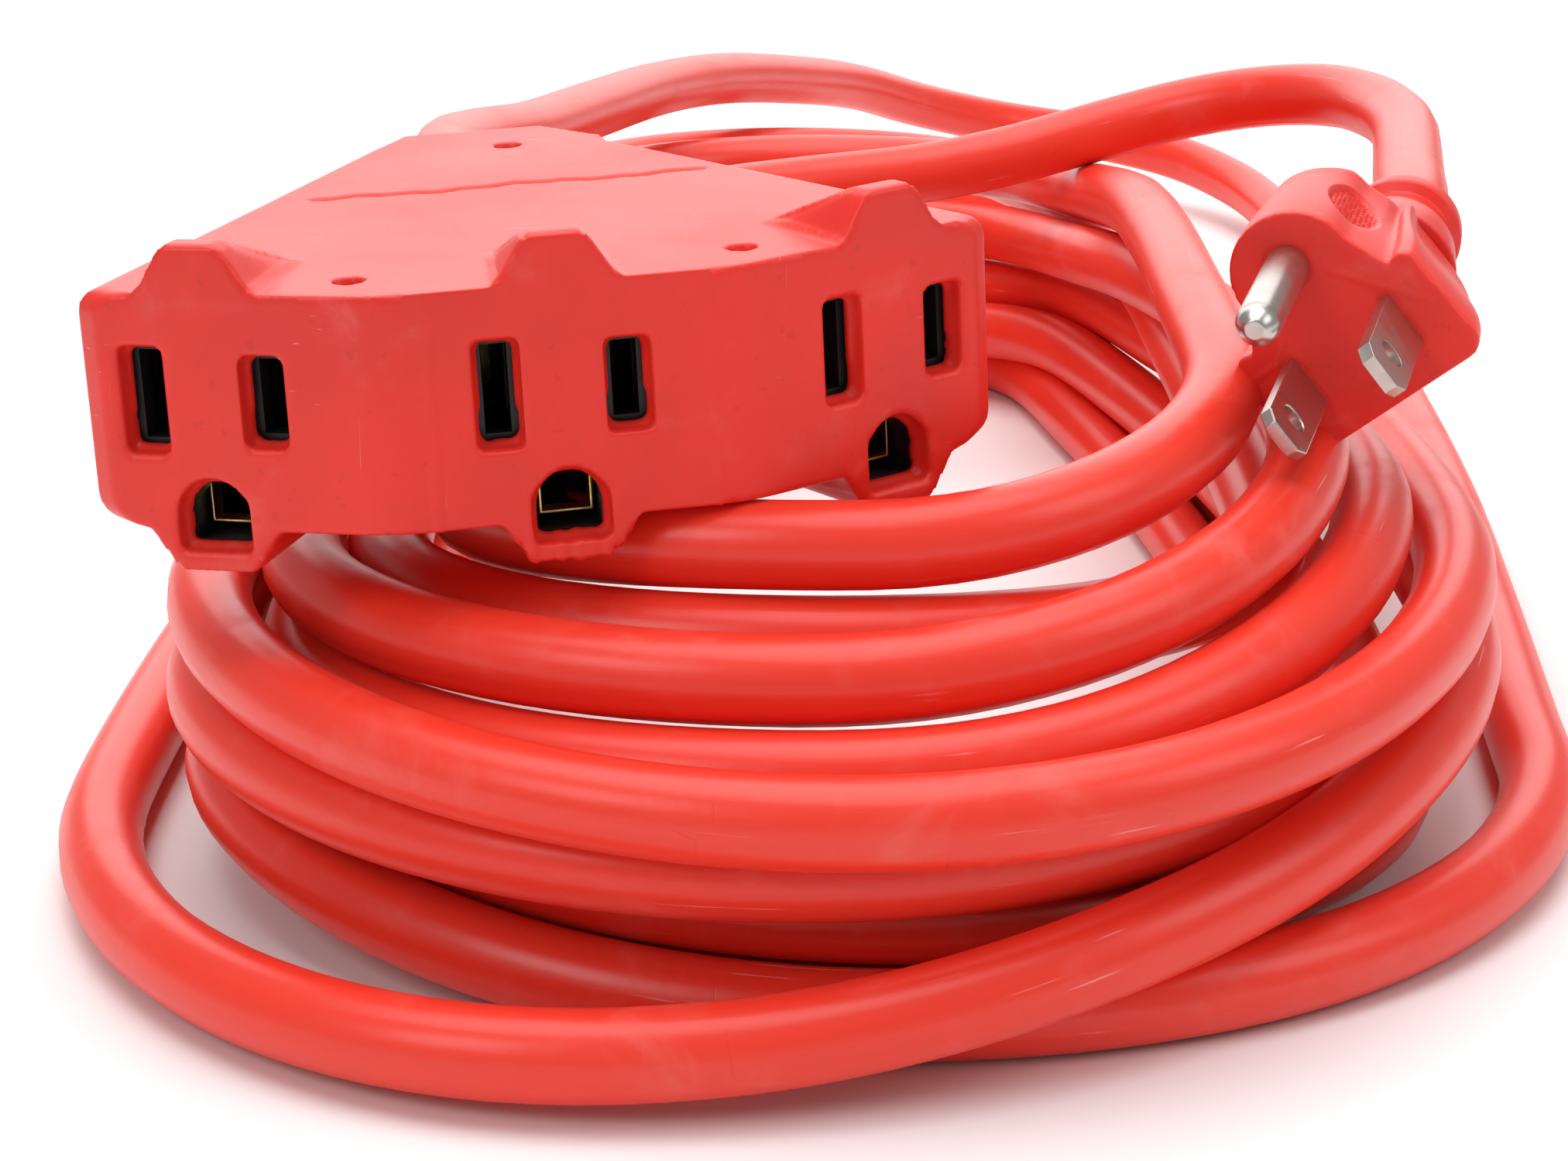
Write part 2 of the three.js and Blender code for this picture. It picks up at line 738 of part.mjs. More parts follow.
// ---------------------------------------------------------------- assembly

const extensionCord = new THREE.Group();
extensionCord.add(buildTap(), buildPlug(), buildCord());

export default extensionCord;
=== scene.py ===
"""Coiled extension cord with a three-outlet tap and a grounded plug.

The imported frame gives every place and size. This file adds the real cord, the soft-edged mouldings,
the prongs, the cord grips, the finishes, and a plain studio.
"""

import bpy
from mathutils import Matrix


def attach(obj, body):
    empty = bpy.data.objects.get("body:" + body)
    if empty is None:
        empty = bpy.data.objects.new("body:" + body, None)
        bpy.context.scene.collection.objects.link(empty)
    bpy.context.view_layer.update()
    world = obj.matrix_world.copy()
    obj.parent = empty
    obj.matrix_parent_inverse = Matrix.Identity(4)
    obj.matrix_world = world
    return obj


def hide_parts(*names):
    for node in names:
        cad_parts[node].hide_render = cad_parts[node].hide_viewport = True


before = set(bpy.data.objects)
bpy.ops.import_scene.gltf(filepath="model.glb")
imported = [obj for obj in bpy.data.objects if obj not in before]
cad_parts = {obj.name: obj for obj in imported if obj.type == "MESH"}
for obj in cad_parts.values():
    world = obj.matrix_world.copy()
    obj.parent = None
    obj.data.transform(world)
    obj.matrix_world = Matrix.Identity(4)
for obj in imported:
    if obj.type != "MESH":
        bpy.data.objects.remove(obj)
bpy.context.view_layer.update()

import math

import bmesh
import bpy
import numpy as np
from bpy.props import FloatProperty, FloatVectorProperty, IntProperty, PointerProperty
from mathutils import Matrix, Vector

bl_info = {
    "name": "Extension Cord",
    "version": (1, 0, 0),
    "blender": (4, 5, 0),
    "location": "3D View > Sidebar > Extension Cord",
    "description": "Builds a coiled extension cord with a three-outlet tap round its packed frame",
    "category": "Object",
}

MM = 0.001

# Where the groups stand, in metres, as the frame has them.
TAP_PLACE = Matrix.Translation((0, 0, 0.0627)) @ Matrix.Rotation(math.radians(-2.7), 4, "Y")
PLUG_PLACE = (
    Matrix.Translation((0.0884, 0.0226, 0.057))
    @ Matrix.Rotation(math.radians(-26.9), 4, "Z")
    @ Matrix.Rotation(math.radians(5.8), 4, "X")
    @ Matrix.Rotation(math.radians(-38.5), 4, "Y")
)
COIL_TURN = math.radians(-10.5)

# Cord, in metres: its jacket, the distance between its points, and where its turns are widest at the
# right and at the left, in the coil's own frame.
CORD_DIAMETER = 0.0092
CORD_STEP = 0.004
RIGHT_LINE = 0.0595
LEFT_LINE = 0.0425
POINTS_PER_QUARTER = 10

# Bends at the coil's rear: how far a run leans in where its bend starts, and the bend's radius as
# shares of half the turn's width, with a least radius in mm.
REAR_SLANT = math.radians(14)
REAR_ROUNDNESS = 0.72
REAR_LEAST_RADIUS = 40
REAR_MOST_ROUNDNESS = 0.93

# Settling: room left between turns in mm, how many points along the cord are its own stretch and
# don't count as touching, the points held still at each end, a push's size, and its smoothing.
TOUCH_GAP = 0.25
OWN_STRETCH = 12
HELD_AT_TAP = 8
HELD_AT_PLUG = 12
PUSH = 1.2
PUSH_SMOOTHING = 6

# The coil's lines are in mm in its own frame.
# Each turn: right (x, z), front (y, z, and x where it isn't midway), left (x, z), rear (y, z).
TURNS = (
    ((109.3, 4.8), (-19, 4.6), (-40.7, 12.5), (380, 6)),
    ((98.3, 21), (-29.5, 4.6, 4.3), (-54.7, 4.6), (272, 4.6)),
    ((92.3, 6), (-12.5, 13.2), (-31.2, 14.5), (262, 4.6)),
    ((81.3, 4.8), (-7.5, 4.6), (-31.7, 4.8), (250, 4.6)),
    ((87.3, 15), (-19, 20), (-42.7, 21.6), (268, 13.5)),
    ((97.3, 31), (-26.5, 28), (-41.7, 31), (258, 15)),
    ((87.8, 37), (-15.5, 27), (-32.2, 25), (262, 23)),
    ((80.8, 43.5), (-9.5, 36), (-31.7, 35), (312, 28)),
    ((77.3, 33), (1.5, 37.5), (-22.2, 35.5), (272, 33)),
    ((71.3, 50), (3.5, 45), (-14.7, 40), (230, 32)),
)
# From the tap's grip back over the coil, down to the floor and forward to the first turn.
TAP_LEAD = (
    (-21.43, 115.6, 61.5), (-23.2, 125, 61.4), (-24, 137, 60.8), (-22.5, 153, 59),
    (-16.5, 179.5, 55.6), (-9.1, 219.5, 52), (0, 264.5, 47.9), (10, 299.5, 43.8),
    (22, 334.5, 37.9), (36, 370, 30.5), (50, 392, 23), (67, 406, 17), (86, 409, 13.5),
    (103, 400, 11), (114.5, 380, 8.8), (120.5, 350, 6.8), (123, 310, 5.2),
    (121.5, 240, 4.7), (118.5, 165, 4.7), (113.8, 108, 4.7),
)
# From the last turn across the coil's middle and over its right side to the plug.
PLUG_LEAD = (
    (-17, 94.5, 41), (-16.5, 122, 42), (-12, 150, 42.8), (-3, 172, 43.5), (10, 187, 44),
    (26, 195.5, 44.5), (43, 200.5, 45.5), (58, 204, 48), (72, 205, 51.8), (85, 203, 55.5),
    (96, 196.5, 58.2), (103.5, 185, 60), (107, 170, 60.8), (107.3, 152, 61.2),
    (104.6, 132, 61.4), (101, 110, 61.8), (98.4, 93, 61.9), (95.9, 82.6, 61.6),
)

# Tap, in mm in its own frame: level faces, and the two ends of its slanted side wall.
TAP_TOP = 10.8
TAP_UNDERSIDE = -13.2
TAP_SIDE_CORNER = Vector((45.8, 14.8))
TAP_REAR_CORNER = Vector((15.5, 72))
TAP_FRONT_CORNER = (17.5, 0)
CORNER_ROUND = 2.4
TOP_ROUND = 2.2
UNDERSIDE_ROUND = 3.2
ROUND_SEGMENTS = 5
OUTLETS = (("left", -34.7, 7.8, -25.3), ("middle", 0, 0, 0), ("right", 34.7, 7.8, 25.3))

# Blade slots' offset from the outlet's middle and their half heights, and the ground pin's height.
SLOT_OFFSET = 6.35
SLOT_HALF_HEIGHTS = (4.5, 3.8)
PIN_HEIGHT = 11.9

# The step in a slot: its half width, its height, and how deep it starts and ends.
STEP_HALF_WIDTH = 1.9
STEP_HEIGHT = 2.8
STEP_DEPTHS = (1.7, 3.1)

# Discs that fill the tap's front pin dimples to a shallow floor: places, radius, thickness, depth.
PIN_DIMPLES = ((-33, 24.5), (33, 24.5))
DIMPLE_RADIUS = 2.3
DIMPLE_DISC = 0.9
DIMPLE_DEPTH = 2.3

# Pads over and under each outlet, and how far below its level face a pad's shape begins.
TOP_PAD = {
    "level": TAP_TOP, "rise": 4.9, "foot": 6.0, "shoulder": 2.9, "flat": 3, "fade": 15.5,
    "spread": (0.6, 0.7),
}
UNDER_PAD = {
    "level": -TAP_UNDERSIDE, "rise": 4.2, "foot": 5.8, "shoulder": 4.2, "flat": 24, "fade": 36,
    "spread": (0.6, 1.5),
}
PAD_ROOT = 2.6

# Marks of the tap's mould: the groove across its top, and parting lines as (x, height).
GROOVE_Y = 49
GROOVE_MIDDLE = 0.8
GROOVE_REACH = 22
GROOVE_DEPTH = 1.3
GROOVE_WIDTH = 0.45
PARTING_LINES = ((-13.0, 0.2), (14.8, 0.14))
PARTING_WIDTH = 0.4
FLASH_HEIGHT = -16.8
FLASH_WIDTH = 2.2

# Plug, in mm in its own frame: the vinyl that fills the play round its prongs.
BLADE_FILL_HALF_WIDTH = 2
BLADE_FILL_DEPTHS = (0.15, 3)
BLADE_FILL_HALF_HEIGHT = 4.6
PIN_FILL_RADIUS = 3.4
PIN_FILL_LENGTH = 2.9
PIN_FILL_DEPTH = 1.6

# Where the plug's face ends and its edges are rounded more, and by how many rounds.
PLUG_MELT = (1.6, 12)

# Finger recess: middle and half size (y, z), and its knurl's rate, height and mean depth.
RECESS_MIDDLE = (12.5, 11.4)
RECESS_SIZE = (6.8, 3.3)
KNURL_RATE = 6.1
KNURL_HEIGHT = 0.24
RECESS_DEPTH = 0.55

# Plug's rear: where it starts and stops narrowing, its least share, and what its sides add.
NARROW_FROM, NARROW_TO = 1, 27
NARROW_SHARE = 0.22
NARROW_SIDES = 0.16
NARROW_TOP = 0.3

# Ground clip, in mm in the outlet's frame: bent strip (x, z), its depth, length and thickness.
CLIP_PATH = ((-2.7, -9.6), (-2.7, -13.9), (2.7, -13.9), (2.7, -9.6))
CLIP_DEPTH = 5.6
CLIP_LENGTH = 2.2
CLIP_THICKNESS = 0.28
CLIP_EDGE = 0.06

# Bevels in mm, and the angles between faces past which an edge of a prong or a grip gets one.
BLADE_EDGE = 0.22
PIN_EDGE = 0.2
GRIP_EDGE = 0.35
PRONG_ANGLE = math.radians(32)
GRIP_ANGLE = math.radians(18)

# Points closer than this, in metres, are joined; a moulding with more triangles is thinned.
WELD = 0.001 * MM
MOST_TRIANGLES = 180000

# Grip profiles, (along the cord, radius) in mm, in the frame of the tap and of the plug.
TAP_GRIP_MIDDLE = -1.2
TAP_GRIP = (
    (69.8, 0), (69.8, 4.7), (83.3, 4.7), (83.3, 8.4), (86, 8.4), (87, 7), (89.5, 7), (90.5, 7.5),
    (94, 7.2), (94.6, 6.2), (96.4, 6.1), (97, 6.8), (100.5, 6.5), (101.1, 5.7), (102.9, 5.6),
    (103.5, 6.2), (107, 5.9), (107.6, 5.3), (109.4, 5.25), (110, 5.6), (116, 5.2), (117, 4.85),
    (117, 0),
)
PLUG_GRIP = (
    (26.3, 0), (26.3, 8.3), (35, 7.2), (36.5, 5.8), (41.4, 5.7), (42, 7.1), (45, 6.9), (46, 6.1),
    (46, 0),
)

CORD_NODES = ("cord_coil", "cord_tap_lead", "cord_plug_lead")

# Studio, in metres: each light's size and place, what they aim at, and the camera.
LIGHTS = (
    ("key", 0.45, (-0.75, -0.55, 0.75)),
    ("side", 0.5, (0.85, -0.35, 0.7)),
    ("top", 1.1, (0.0, 0.15, 1.15)),
    ("rear", 1.5, (0.25, 1.35, 0.75)),
)
LIGHT_AIM = Vector((0.03, 0.12, 0.03))
WALL_COLOUR = (0.94, 0.94, 0.94, 1)
FLOOR_SIZE = 6
CAMERA_PLACE = (-0.0384, -0.3239, 0.1466)
CAMERA_HEADING = (0.1824, 0.9832)
CAMERA_DIP = math.radians(17.6)


# ---------------------------------------------------------------- settings


def colour_setting(name, description, default):
    return FloatVectorProperty(
        name=name, description=description, subtype="COLOR", size=3, min=0, max=1,
        default=default,
    )


def power_setting(name, description, default):
    return FloatProperty(
        name=name, description=description, unit="POWER", min=0, max=200, default=default,
    )


class StudioSettings(bpy.types.PropertyGroup):
    """Floor, lights and camera."""

    floor_colour: colour_setting("Floor Colour", "Colour of the floor", (0.9, 0.9, 0.9))
    surround: FloatProperty(
        name="Surround", description="Strength of the white surroundings",
        min=0, max=4, default=0.36,
    )
    key_power: power_setting("Key Light", "Power of the light over the left front", 3.0)
    side_power: power_setting("Side Light", "Power of the light at the right", 2.0)
    top_power: power_setting("Top Light", "Power of the large light overhead", 12.0)
    rear_power: power_setting("Rear Light", "Power of the large light behind and above", 11.0)
    lens: FloatProperty(
        name="Lens", description="Focal length of the camera in millimetres", min=20, max=300,
        default=79.41,
    )


class CordSettings(bpy.types.PropertyGroup):
    """The jacket and the lie of the cord."""

    diameter: FloatProperty(
        name="Diameter", description="Outside diameter of the jacket", unit="LENGTH",
        min=0.004, max=0.02, default=CORD_DIAMETER,
    )
    settle_rounds: IntProperty(
        name="Settling Rounds", description="How often touching turns are pushed apart",
        min=0, max=300, default=120,
    )


class MouldingSettings(bpy.types.PropertyGroup):
    """The tap's and the plug's moulded edges."""

    tap_grain: FloatProperty(
        name="Tap Mesh Size", description="Distance between points on the tap", unit="LENGTH",
        min=0.0003, max=0.002, default=0.00045,
    )
    plug_grain: FloatProperty(
        name="Plug Mesh Size", description="Distance between points on the plug", unit="LENGTH",
        min=0.0002, max=0.002, default=0.00032,
    )
    tap_softness: IntProperty(
        name="Tap Softness", description="Rounds of smoothing that round the tap's edges",
        min=0, max=40, default=2,
    )
    plug_softness: IntProperty(
        name="Plug Softness", description="Rounds of smoothing that round the plug's edges",
        min=0, max=40, default=4,
    )


class FinishSettings(bpy.types.PropertyGroup):
    """Colours of the vinyl and the metals."""

    tap_colour: colour_setting(
        "Moulding Colour", "Vinyl of the tap, the plug and the grips", (0.80, 0.030, 0.019)
    )
    cord_colour: colour_setting("Cord Colour", "Vinyl of the cord's jacket", (0.86, 0.043, 0.022))
    nickel_colour: colour_setting("Prong Colour", "Plating of the prongs", (0.56, 0.53, 0.49))
    brass_colour: colour_setting("Contact Colour", "Brass of the contacts", (0.83, 0.60, 0.24))


# ---------------------------------------------------------------- shader helpers


class Value:
    """One output socket. Arithmetic on it adds Math nodes."""

    def __init__(self, finish, socket):
        self.finish = finish
        self.socket = socket

    def math(self, operation, first, second):
        return self.finish.node("ShaderNodeMath", {"operation": operation}, {0: first, 1: second})

    def __add__(self, other):
        return self.math("ADD", self, other)

    def __radd__(self, other):
        return self.math("ADD", other, self)

    def __sub__(self, other):
        return self.math("SUBTRACT", self, other)

    def __rsub__(self, other):
        return self.math("SUBTRACT", other, self)

    def __mul__(self, other):
        return self.math("MULTIPLY", self, other)

    def __rmul__(self, other):
        return self.math("MULTIPLY", other, self)


class Finish:
    """A material and the nodes that make it."""

    def __init__(self, name):
        self.material = bpy.data.materials.new(name)
        self.material.use_nodes = True
        self.tree = self.material.node_tree
        self.tree.nodes.clear()

    def node(self, kind, settings=None, values=None, out=0):
        """Adds a node: its settings first, then what its sockets hold or are linked to."""
        made = self.tree.nodes.new(kind)
        for key, value in (settings or {}).items():
            setattr(made, key, value)
        for key, value in (values or {}).items():
            socket = made.inputs[key]
            if isinstance(value, Value):
                self.tree.links.new(value.socket, socket)
            else:
                socket.default_value = value
        return Value(self, made.outputs[out]) if made.outputs else None

    def place(self):
        return self.node("ShaderNodeTexCoord", out="Object")

    def attribute(self, name):
        return self.node("ShaderNodeAttribute", {"attribute_name": name}, out="Vector")

    def stretched(self, vector, scale, turn=(0, 0, 0)):
        return self.node(
            "ShaderNodeMapping", {}, {"Vector": vector, "Scale": scale, "Rotation": turn}
        )

    def noise(self, vector, scale, detail=4.0, roughness=0.55, distortion=0.0):
        return self.node(
            "ShaderNodeTexNoise", {},
            {"Vector": vector, "Scale": scale, "Detail": detail, "Roughness": roughness,
             "Distortion": distortion},
        )

    def span(self, value, low, high):
        """0 where value is low, 1 where it is high, eased and held between."""
        return self.node(
            "ShaderNodeMapRange", {"interpolation_type": "SMOOTHSTEP"},
            {"Value": value, "From Min": low, "From Max": high},
        )

    def mix(self, factor, first, second):
        """A mix of two colours."""
        def full(colour):
            return colour if isinstance(colour, Value) else (*colour[:3], 1)
        return self.node(
            "ShaderNodeMix", {"data_type": "RGBA"},
            {0: factor, 6: full(first), 7: full(second)}, out=2,
        )

    def bump(self, height, strength, distance):
        values = {"Height": height, "Strength": strength, "Distance": distance}
        return self.node("ShaderNodeBump", {}, values)

    def principled(self, **values):
        """The material, with a Principled shader whose sockets are named in snake case."""
        names = {k.replace("_", " ").title().replace("Ior", "IOR"): v for k, v in values.items()}
        shader = self.node("ShaderNodeBsdfPrincipled", {}, names)
        self.node("ShaderNodeOutputMaterial", {}, {"Surface": shader})
        return self.material


def tint(colour, factor):
    """A colour made lighter or darker by a factor."""
    return tuple(min(1.0, c * factor) for c in colour[:3])


def towards(colour, other, share):
    """A colour moved by a share of the way to another."""
    return tuple(a + (b - a) * share for a, b in zip(colour[:3], other[:3]))


def moulded_vinyl(name, colour):
    """Satin vinyl from a mould: slow mottling, dusty bloom, hairline scratches, fine texture."""
    f = Finish(name)
    place = f.place()
    mottle = f.span(f.noise(place, 38.0, 5.0), 0.32, 0.7)
    bloom = f.span(f.noise(place, 95.0, 6.0, 0.65, 0.4), 0.54, 0.8)
    grain = f.noise(place, 1500.0, 3.0)
    speck = f.span(f.noise(place, 620.0, 2.0, 0.5), 0.66, 0.74)
    across = f.noise(f.stretched(place, (90, 900, 2600), (0.3, 0.5, 0.2)), 1.0, 2.0, 0.5)
    along = f.noise(f.stretched(place, (2400, 700, 80), (0.1, 0.35, 0.7)), 1.0, 2.0, 0.5)
    patch = f.span(f.noise(place, 60.0, 2.0), 0.5, 0.62)
    scratch = (f.span(across, 0.70, 0.76) + f.span(along, 0.71, 0.77)) * patch
    base = f.mix(mottle, tint(colour, 0.9), tint(colour, 1.06))
    dusty = f.mix(bloom * 0.22, base, towards(colour, (0.95, 0.55, 0.5), 0.55))
    marked = f.mix(scratch * 0.45, dusty, towards(colour, (1, 0.75, 0.7), 0.6))
    dotted = f.mix(speck * 0.25, marked, tint(colour, 0.55))
    rough = 0.36 + mottle * 0.06 + bloom * 0.14 + scratch * 0.12 + grain * 0.05
    height = grain * 0.3 + mottle * 0.5 - scratch * 0.6
    return f.principled(
        base_color=dotted, roughness=rough, normal=f.bump(height, 0.35, 0.00012),
        specular_ior_level=0.4, coat_weight=0.04, coat_roughness=0.3, ior=1.5,
    )


def jacket_vinyl(name, colour):
    """Extruded vinyl jacket: streaks along it, faint lay of the cores, dusty and rubbed spots."""
    f = Finish(name)
    place = f.place()
    lie = f.attribute("lie")
    streak = f.noise(f.stretched(lie, (14, 700, 700)), 1.0, 4.0, 0.6)
    ripple = f.noise(f.stretched(lie, (160, 60, 60)), 1.0, 3.0, 0.5)
    rings = f.span(f.noise(f.stretched(lie, (900, 45, 45)), 1.0, 2.0, 0.5), 0.68, 0.74)
    worn = f.span(f.noise(place, 26.0, 4.0), 0.52, 0.66)
    bloom = f.span(f.noise(place, 85.0, 6.0, 0.65, 0.5), 0.52, 0.78)
    grain = f.noise(place, 1300.0, 2.0)
    scuff_lines = f.noise(f.stretched(lie, (60, 1500, 1500)), 1.0, 2.0, 0.5)
    scuff = f.span(scuff_lines, 0.68, 0.74) * worn
    base = f.mix(streak, tint(colour, 0.92), tint(colour, 1.05))
    dusty = f.mix(bloom * 0.2, base, towards(colour, (0.95, 0.5, 0.46), 0.5))
    scuffed = f.mix(scuff * 0.5, dusty, towards(colour, (1, 0.8, 0.76), 0.6))
    cracked = f.mix(rings * worn * 0.3, scuffed, tint(colour, 0.6))
    rough = 0.30 + streak * 0.08 + bloom * 0.16 + scuff * 0.15
    height = streak * 0.35 + ripple * 0.8 + grain * 0.15 - rings * worn * 0.5
    return f.principled(
        base_color=cracked, roughness=rough, normal=f.bump(height, 0.4, 0.00018),
        specular_ior_level=0.42, coat_weight=0.05, coat_roughness=0.25, ior=1.5,
    )


def plated_metal(name, colour):
    """Nickel plating with drawn lines, smudges and a few worn brownish spots."""
    f = Finish(name)
    place = f.place()
    drawn = f.noise(f.stretched(place, (5200, 500, 5200), (0, 0, -0.47)), 1.0, 3.0, 0.6)
    smudge = f.span(f.noise(place, 240.0, 5.0, 0.6, 0.4), 0.42, 0.7)
    worn = f.span(f.noise(place, 420.0, 3.0, 0.6), 0.62, 0.72)
    base = f.mix(smudge * 0.4, colour, tint(colour, 0.72))
    brown = f.mix(worn * 0.45, base, (0.34, 0.24, 0.15))
    rough = 0.27 + drawn * 0.06 + smudge * 0.08 + worn * 0.08
    return f.principled(
        base_color=brown, metallic=1.0, roughness=rough,
        normal=f.bump(drawn * 0.5 + worn * 0.5, 0.12, 0.00002),
    )


def contact_brass(name, colour):
    """Stamped brass, dull in patches."""
    f = Finish(name)
    place = f.place()
    tarnish = f.span(f.noise(place, 320.0, 5.0), 0.4, 0.7)
    drawn = f.noise(f.stretched(place, (600, 4000, 600)), 1.0, 3.0)
    base = f.mix(tarnish * 0.6, colour, tint(colour, 0.45))
    return f.principled(
        base_color=base, metallic=1.0, roughness=0.22 + tarnish * 0.3 + drawn * 0.08,
        normal=f.bump(drawn, 0.2, 0.00004),
    )


def hard_plastic(name, colour, roughness):
    """Hard moulded plastic with a faint grain."""
    f = Finish(name)
    place = f.place()
    cloud = f.noise(place, 180.0, 4.0)
    grain = f.noise(place, 2200.0, 2.0)
    base = f.mix(cloud, tint(colour, 0.8), tint(colour, 1.2))
    return f.principled(
        base_color=base, roughness=roughness + cloud * 0.1,
        normal=f.bump(grain + cloud, 0.2, 0.00005),
    )


# ---------------------------------------------------------------- shape helpers


def linked(name, data):
    """A new object with that data, in the scene."""
    made = bpy.data.objects.new(name, data)
    bpy.context.scene.collection.objects.link(made)
    return made


def final_mesh(helper):
    """The mesh that a helper object shows, which then leaves the scene."""
    graph = bpy.context.evaluated_depsgraph_get()
    mesh = bpy.data.meshes.new_from_object(helper.evaluated_get(graph))
    bpy.data.objects.remove(helper)
    return mesh


def add_piece(name, mesh, finish, replaced=()):
    """Puts a finished mesh into the scene as a piece that rides on the frame."""
    piece = linked(name, mesh)
    mesh.materials.clear()
    mesh.materials.append(finish)
    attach(piece, "root")
    if replaced:
        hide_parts(*replaced)
    return piece


def applied(source, modifiers):
    """The mesh of an object after a few modifiers, each given as (type, settings)."""
    helper = linked("helper", source)
    for kind, settings in modifiers:
        modifier = helper.modifiers.new(kind.title(), kind)
        for key, value in settings.items():
            setattr(modifier, key, value)
    mesh = final_mesh(helper)
    bpy.data.meshes.remove(source)
    return mesh


def merged_copy(node):
    """A CAD node's mesh with its loose triangles joined."""
    bm = bmesh.new()
    bm.from_mesh(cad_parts[node].data)
    bmesh.ops.remove_doubles(bm, verts=bm.verts, dist=2 * WELD)
    return bm


def as_mesh(bm, name):
    mesh = bpy.data.meshes.new(name)
    bm.to_mesh(mesh)
    bm.free()
    return mesh


def smooth_shaded(mesh):
    mesh.shade_smooth()
    return mesh


def bevel(bm, edges, width, segments=3, clamp=True):
    """Bevels edges by a width in mm."""
    bmesh.ops.bevel(
        bm, geom=edges, offset=width * MM, offset_type="OFFSET", segments=segments, profile=0.5,
        affect="EDGES", material=-1, clamp_overlap=clamp,
    )


def sharp_edges(bm, angle):
    """The edges between two faces that meet at more than an angle."""
    return [e for e in bm.edges if len(e.link_faces) == 2 and e.calc_face_angle() > angle]


def rounded(bm, place, on_edge, width):
    """Bevels the edges whose two ends, in mm in the group's own frame, pass on_edge."""
    back = place.inverted()
    chosen = [
        e for e in sharp_edges(bm, 0.1) if on_edge(*(back @ v.co / MM for v in e.verts))
    ]
    bevel(bm, chosen, width, ROUND_SEGMENTS, clamp=False)


def box_of(bm, low, high, place):
    """Adds a box between two corners, in mm in the group's own frame."""
    low, high = Vector(low), Vector(high)
    middle = Matrix.Translation((low + high) / 2 * MM)
    size = Matrix.Diagonal((*(high - low) * MM, 1))
    bmesh.ops.create_cube(bm, size=1, matrix=place @ middle @ size)


def disc_of(bm, radius, depth, segments, place):
    """Adds a closed cylinder, sized in mm, about the place's Z axis."""
    bmesh.ops.create_cone(
        bm, cap_ends=True, segments=segments, radius1=radius * MM, radius2=radius * MM,
        depth=depth * MM, matrix=place,
    )


def outlet_place(x, y, turn):
    """Where an outlet's frame stands: its face's middle at y = 0, looking along -y."""
    return (
        TAP_PLACE @ Matrix.Translation(Vector((x, y, 0)) * MM)
        @ Matrix.Rotation(math.radians(turn), 4, "Z")
    )


def slot_steps():
    """Boxes that widen the lower third of each blade slot behind its pocket's floor."""
    bm = bmesh.new()
    near, far = STEP_DEPTHS
    for _, x, y, turn in OUTLETS:
        for middle, half_height in zip((-SLOT_OFFSET, SLOT_OFFSET), SLOT_HALF_HEIGHTS):
            box_of(
                bm, (middle - STEP_HALF_WIDTH, near, -half_height),
                (middle + STEP_HALF_WIDTH, far, -half_height + STEP_HEIGHT),
                outlet_place(x, y, turn),
            )
    return as_mesh(bm, "slot_steps")


def plug_blank():
    """The plug's shape with the play round its prongs filled, as vinyl moulded onto them."""
    bm = merged_copy("plug_body")
    near, far = BLADE_FILL_DEPTHS
    for middle in (-SLOT_OFFSET, SLOT_OFFSET):
        box_of(
            bm, (middle - BLADE_FILL_HALF_WIDTH, near, -BLADE_FILL_HALF_HEIGHT),
            (middle + BLADE_FILL_HALF_WIDTH, far, BLADE_FILL_HALF_HEIGHT), PLUG_PLACE,
        )
    put = (
        PLUG_PLACE @ Matrix.Translation(Vector((0, PIN_FILL_DEPTH, PIN_HEIGHT)) * MM)
        @ Matrix.Rotation(math.pi / 2, 4, "X")
    )
    disc_of(bm, PIN_FILL_RADIUS, PIN_FILL_LENGTH, 32, put)
    return bm


def tap_blank():
    """The tap's shape with its side edges and front corners rounded and shallow front dimples."""
    bm = merged_copy("tap_body")
    bmesh.ops.dissolve_limit(bm, angle_limit=math.radians(0.5), verts=bm.verts, edges=bm.edges)

    def off_wall(p):
        along = (TAP_REAR_CORNER - TAP_SIDE_CORNER).normalized()
        away = Vector((abs(p.x), p.y)) - TAP_SIDE_CORNER
        return abs(away.x * along.y - away.y * along.x)

    def corner(x, y):
        return lambda p, q: all(abs(abs(e.x) - x) < 0.2 and abs(e.y - y) < 0.2 for e in (p, q))

    def on_wall(p, height):
        return abs(p.z - height) < 0.2 and (
            off_wall(p) < 0.2 and p.y > 14 or abs(abs(p.x) - 45) < 1.1 and 12 < p.y < 15
        )

    def wall_edge(height):
        return lambda p, q: on_wall(p, height) and on_wall(q, height) and (p - q).length > 1

    for x, y in PIN_DIMPLES:
        put = TAP_PLACE @ Matrix.Translation(Vector((x, y, TAP_TOP - DIMPLE_DEPTH)) * MM)
        disc_of(bm, DIMPLE_RADIUS, DIMPLE_DISC, 24, put)
    rounded(bm, TAP_PLACE, corner(*TAP_FRONT_CORNER), CORNER_ROUND)
    rounded(bm, TAP_PLACE, wall_edge(TAP_TOP), TOP_ROUND)
    rounded(bm, TAP_PLACE, wall_edge(TAP_UNDERSIDE), UNDERSIDE_ROUND)
    return bm


